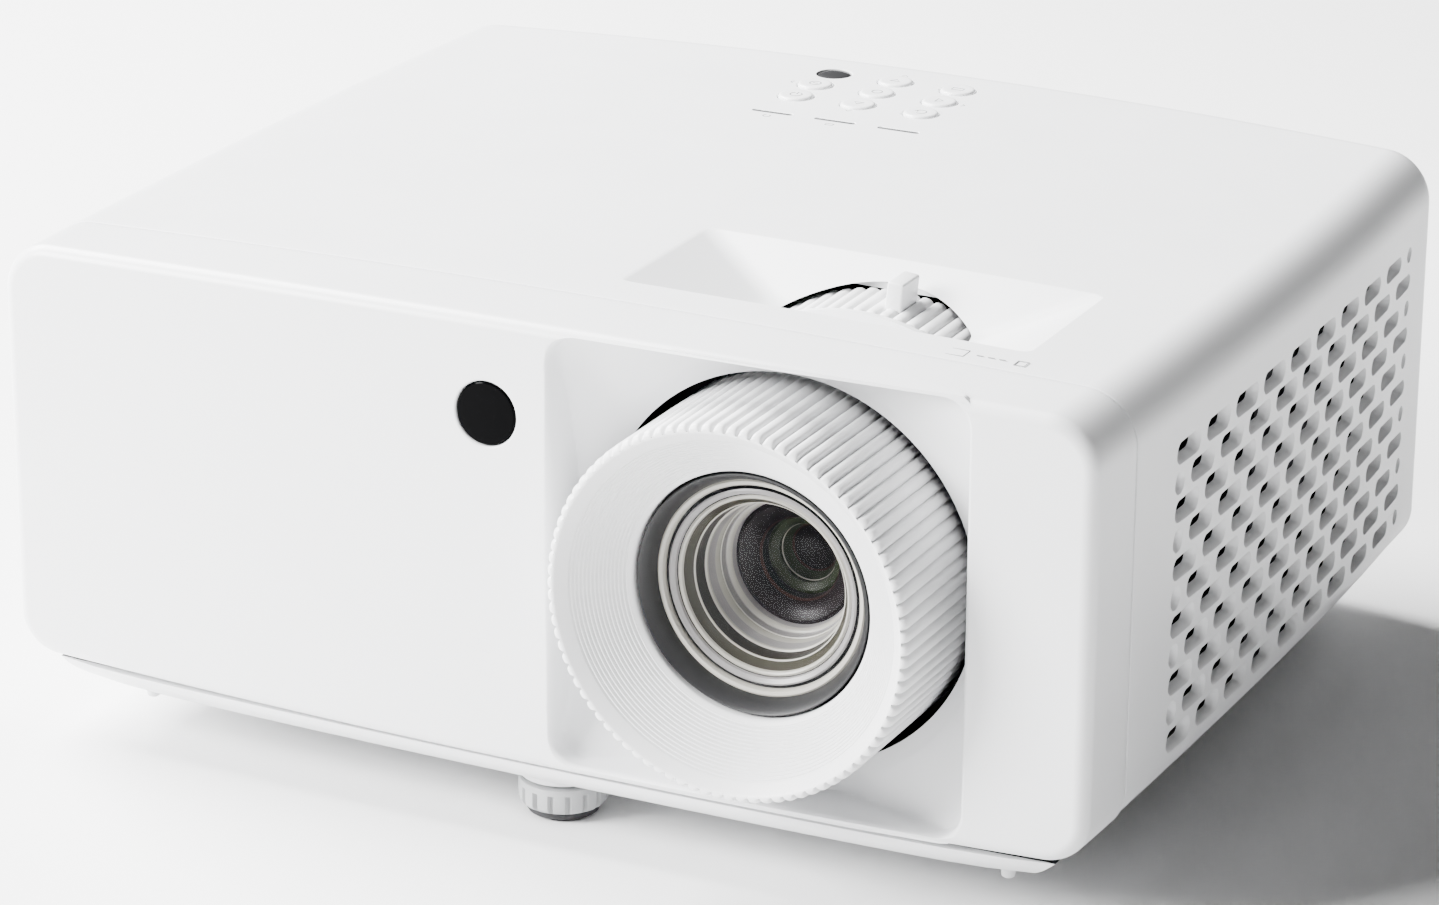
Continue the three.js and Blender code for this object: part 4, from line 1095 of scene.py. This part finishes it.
def key_sign(node):
    """The grey line sign on each key."""
    x, y, _ = middle(node)
    z = extent(node)[1][2] - 0.08
    w = 0.22
    lines = {
        "key_menu": [(circle(x, y, 1.45), True), ([(x - 0.7, y), (x + 0.7, y)], False)],
        "key_power": [(circle(x, y, 1.5, 120, 420, 24), False), ([(x, y + 0.3), (x, y + 1.8)], False)],
        "key_up": [([(x - 1.3, y - 0.7), (x, y + 0.9), (x + 1.3, y - 0.7)], True)],
        "key_enter": [(circle(x, y, 1.3), True)],
        "key_down": [([(x - 1.3, y + 0.7), (x, y - 0.9), (x + 1.3, y + 0.7)], True)],
        "key_source": [(oblong(x - 1.5, x + 1.5, y - 0.8, y + 0.8), True)],
        "key_right": [([(x - 0.8, y - 1.3), (x + 1.0, y), (x - 0.8, y + 1.3)], True)],
        "key_back": [(circle(x, y, 1.4, -120, 150, 22), False),
                     ([(x - 1.9, y + 0.4), (x - 1.2, y + 0.7), (x - 0.9, y)], False)],
    }[node]
    sign = join([stroke(points, w, z, closed) for points, closed in lines], node + "_sign")
    shade(sign)
    return ready(sign, PRINT_GREY, node + "_body")


def cover_signs():
    """Printed signs on the top: the keypad's marks beside the keys and lights, the zoom range."""
    lines = []
    x, y, _ = middle("power_light_pipe")
    lines.append((circle(x, y - 3.4, 0.9, 120, 420, 20), False))
    x, y, _ = middle("source_light_pipe")
    lines.append((oblong(x - 1, x + 1, y - 4.0, y - 2.8), True))
    for node, dx, dy in (("key_up", 0, 5.6), ("key_down", 0, -5.6), ("key_menu", -6, 0), ("key_right", 6, 0)):
        x, y, _ = middle(node)
        if dx:
            lines.append(([(x + dx, y - 0.8), (x + dx * 1.13, y), (x + dx, y + 0.8)], False))
        else:
            lines.append(([(x - 0.8, y + dy), (x, y + dy * 1.14), (x + 0.8, y + dy)], False))
    made = [stroke(points, 0.24, top_z(points[0][0]), closed) for points, closed in lines]
    frame_x, frame_y = 84.0, 29.2
    wide = oblong(frame_x, frame_x + 10, frame_y - 2, frame_y + 2)
    z = top_z(frame_x + 8) + 0.02
    made.append(stroke(wide, 0.26, z, True))
    for i in range(3):
        start = frame_x + 12.4 + 2.6 * i
        made.append(stroke([(start, frame_y), (start + 1.6, frame_y)], 0.26, z - 0.05 * i))
    small_x = frame_x + 21.5
    small = oblong(small_x, small_x + 2.4, frame_y - 1.4, frame_y + 1.4)
    made.append(stroke(small, 0.26, z - 0.25, True))
    sign = join(made, "top_cover_signs")
    shade(sign)
    return ready(sign, PRINT_GREY, "case")


def light_bar(node):
    x, y, _ = middle(node)
    top = top_z(x) - 0.06
    levels = [(top - 6, 0), (top - 0.15, 0), (top - 0.04, -0.06), (top, -0.2)]
    bar = shade(pill(x, y, 5.4, 0.76, levels, node + "_bar"))
    return ready(bar, LIGHT_PIPE, "case", [node])


def top_window():
    x, y, _ = middle("top_ir_window")
    top = top_z(x)
    profile = [(0, top + 0.1), (2.5, top + 0.02), (3.9, top - 0.18), (4.25, top - 0.4), (4.3, top - 0.8),
               (4.3, top - 2.6), (0, top - 2.6)]
    window = shade(turned("top_ir_window_dome", profile, (x, y, 0), "z", 56))
    return ready(window, SMOKED, "case", ["top_ir_window"])


# ---- feet ----
def knob_outline(u):
    flute = 0.0 if abs(u) < 0.62 else 1.1 * ease((abs(u) - 0.62) / 0.3)
    low, high = 1.95, 8.25
    return [(2.0, high), (9.2, high), (10.0, high - 0.25), (10.3, high - 0.9), (10.3, high - 1.5),
            (10.3 - flute, high - 1.9), (10.3 - flute, low + 1.6), (10.1 - flute, low + 1.0),
            (9.6 - flute * 0.5, low + 0.3), (9.0, low), (2.0, low)]


def foot(name):
    x, y, _ = middle(name + "_knob")
    knob = wedge_ring(name + "_knob_fluted", knob_outline, 16, 16, (x, y, 0), "z", FOOT_GREY)
    radius, core, start, end, pitch = 3.0, 2.5, 2.4, 30.0, 1.25
    count = int((end - start) / pitch)
    profile = [(0, start)]
    for i in range(count):
        base = start + i * pitch
        profile += [(core, base), (radius, base + 0.4 * pitch), (radius, base + 0.6 * pitch)]
    profile += [(core, end - 0.4), (1.8, end), (0, end)]
    cut(knob, turned("stud", profile, (x, y, 0), "z", 28), "UNION")
    shade(knob, 40)
    ready(knob, FOOT_GREY, name + "_knob_body", [name + "_knob"])
    pad_profile = [(0, 0), (7.6, 0), (8.2, 0.25), (8.5, 0.8), (8.5, 1.6), (0, 1.6)]
    pad = shade(turned(name + "_pad_disc", pad_profile, (x, y, 0), "z", 56))
    ready(pad, RUBBER, name + "_pad_body", [name + "_pad"])


# ---- rear panel and its sockets ----
def rear_panel():
    plate = rounded_box("rear_panel_plate", PANEL_LOW, PANEL_HIGH, 0.3, 2)
    for node, margin in SOCKETS:
        low, high = extent(node)
        hole = rounded_box("socket_hole", (low[0] - margin, PANEL_LOW[1] - 3, low[2] - margin),
                           (high[0] + margin, PANEL_HIGH[1] + 3, high[2] + margin), 0.6, 3)
        cut(plate, hole)
    shade(plate, 30, even=True)
    return ready(plate, PANEL_GREY, "case", ["rear_panel"])


SOCKETS = [("ac_inlet", 0.35), ("hdmi_port_1", 0.35), ("hdmi_port_2", 0.35), ("usb_power_port", 0.35),
           ("network_port", 0.35), ("serial_port", 0.35), ("audio_out_jack", 0.35)]


def row_of_pins(x0, x1, z, y0, y1, count, size, name):
    half = size / 2
    pin = rounded_box(name, (x0 - half, y0, z - half), (x0 + half, y1, z + half), size * 0.2, 2)
    step = (x1 - x0) / max(1, count - 1)
    return grow(pin, LINE, Count=count, Step=(step * MM, 0, 0), Finish=METAL)


def socket(node, edge, tongue, pins, pin_size, shell_finish, slot):
    """A connector: a shell with a soft-edged mouth, its tongue and a row of contacts."""
    low, high = extent(node)
    shell = rounded_box(node + "_shell", low, high, edge, 4)
    wall = 0.8 if shell_finish is METAL else 1.6
    mouth = rounded_box("mouth", (low[0] + wall, high[1] - 9, low[2] + wall),
                        (high[0] - wall, high[1] + 4, high[2] - wall), max(0.2, edge * 0.6), 4)
    cut(shell, mouth)
    shade(shell, 30, even=True)
    ready(shell, shell_finish, "case", [node])
    mid_z = (low[2] + high[2]) / 2
    if tongue:
        tip = rounded_box(node + "_tongue", (low[0] + 3, high[1] - 9.5, mid_z - tongue / 2),
                          (high[0] - 3, high[1] - 1.2, mid_z + tongue / 2), min(0.3, tongue / 4), 2)
        ready(shade(tip), BLACK_AND_PAINTED_SHADE, "case")
    if pins:
        z = mid_z if not tongue else mid_z + tongue / 2
        strip = row_of_pins(low[0] + 4.2, high[0] - 4.2, z, high[1] - 8.6, high[1] - 2.4, pins, pin_size,
                            node + "_contacts")
        ready(shade(strip), METAL, "case")


def sockets():
    socket("ac_inlet", 1.6, 0, 3, 2.0, BLACK_AND_PAINTED_SHADE, "inner_black")
    for node in ("hdmi_port_1", "hdmi_port_2"):
        socket(node, 0.9, 1.2, 9, 0.4, METAL, "sheet_metal")
    socket("usb_power_port", 0.5, 1.6, 4, 0.9, METAL, "sheet_metal")
    socket("network_port", 0.6, 0, 8, 0.45, METAL, "sheet_metal")
    socket("serial_port", 2.2, 5.0, 5, 1.0, METAL, "sheet_metal")
    socket("audio_out_jack", 1.2, 0, 0, 0, BLACK_AND_PAINTED_SHADE, "inner_black")


# ---- everything the frame already has the right shape for ----
CARRIED = {
    BLACK_AND_PAINTED_SHADE: ["lens_shroud", "lens_barrel", "zoom_lens_cell", "exhaust_fan_frame", "exhaust_fan_rotor",
            "intake_fan_frame", "intake_fan_rotor", "speaker"],
    CAST: ["light_engine", "laser_module", "wheel_motor"],
    METAL: ["laser_heat_sink", "imaging_heat_sink", "phosphor_wheel",
            *(f"case_screw_{i}" for i in range(1, 5))],
    BOARD: ["keypad_board", "imaging_board", "main_board", "power_supply"],
    BRASS: [f"ceiling_insert_{i}" for i in range(1, 4)],
}


def carry_over():
    for material, nodes in CARRIED.items():
        for node in nodes:
            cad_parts[node].data.materials.clear()
            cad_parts[node].data.materials.append(material)


# ---- camera, floor and light ----
def camera():
    data = bpy.data.cameras.new("camera")
    data.lens = 124.67
    data.sensor_width = 36
    data.shift_x = 0.0496
    data.shift_y = 0.0160
    data.clip_end = 50
    eye = bpy.data.objects.new("camera", data)
    eye.location = (0.4910, -0.9998, 0.4707)
    eye.rotation_euler = (math.pi / 2 - 0.3598, 0, 0.4745)
    bpy.context.scene.collection.objects.link(eye)
    bpy.context.scene.camera = eye


def area_light(name, location, target, size, power):
    data = bpy.data.lights.new(name, "AREA")
    data.shape = "RECTANGLE"
    data.size, data.size_y = size
    data.energy = power
    lamp = bpy.data.objects.new(name, data)
    lamp.location = location
    lamp.rotation_euler = (Vector(target) - Vector(location)).to_track_quat("-Z", "Y").to_euler()
    bpy.context.scene.collection.objects.link(lamp)


def studio():
    world = bpy.data.worlds.new("studio")
    world.use_nodes = True
    background = world.node_tree.nodes["Background"]
    background.inputs["Color"].default_value = (1, 1, 1, 1)
    background.inputs["Strength"].default_value = 0.1
    bpy.context.scene.world = world
    bpy.ops.mesh.primitive_plane_add(size=12, location=(0, 0, -0.0004))
    floor = bpy.context.object
    floor.name = "floor"
    floor.data.materials.append(finish("pale_floor", (0.86, 0.86, 0.86), 0.7, vary=0.02, tint=0.005))
    area_light("top_softbox", (-1.0, 0.15, 1.15), (0, 0, 0.05), (0.9, 1.0), 150)
    area_light("front_softbox", (-1.35, -1.35, 1.05), (0, -0.1, 0.06), (0.9, 0.9), 190)


def main():
    camera()
    studio()
    carry_over()
    front_bezel()
    front_window()
    top_cover()
    bottom_cover()
    focus_ring()
    lens_collar()
    glass_dome("front_glass_dome", 24.6, 5.4, 4.0, 0.9, "front_lens_body", ["front_lens"])
    glass_dome("zoom_glass_dome", 20.9, 55.5, 3.0, 1.2, "zoom_lens_body", ["zoom_lens"])
    zoom_ring()
    for node in KEY_NODES:
        key_cap(node)
        key_sign(node)
    for node in LIGHT_NODES:
        light_bar(node)
    top_window()
    cover_signs()
    for name in FEET:
        foot(name)
    rear_panel()
    sockets()


main()
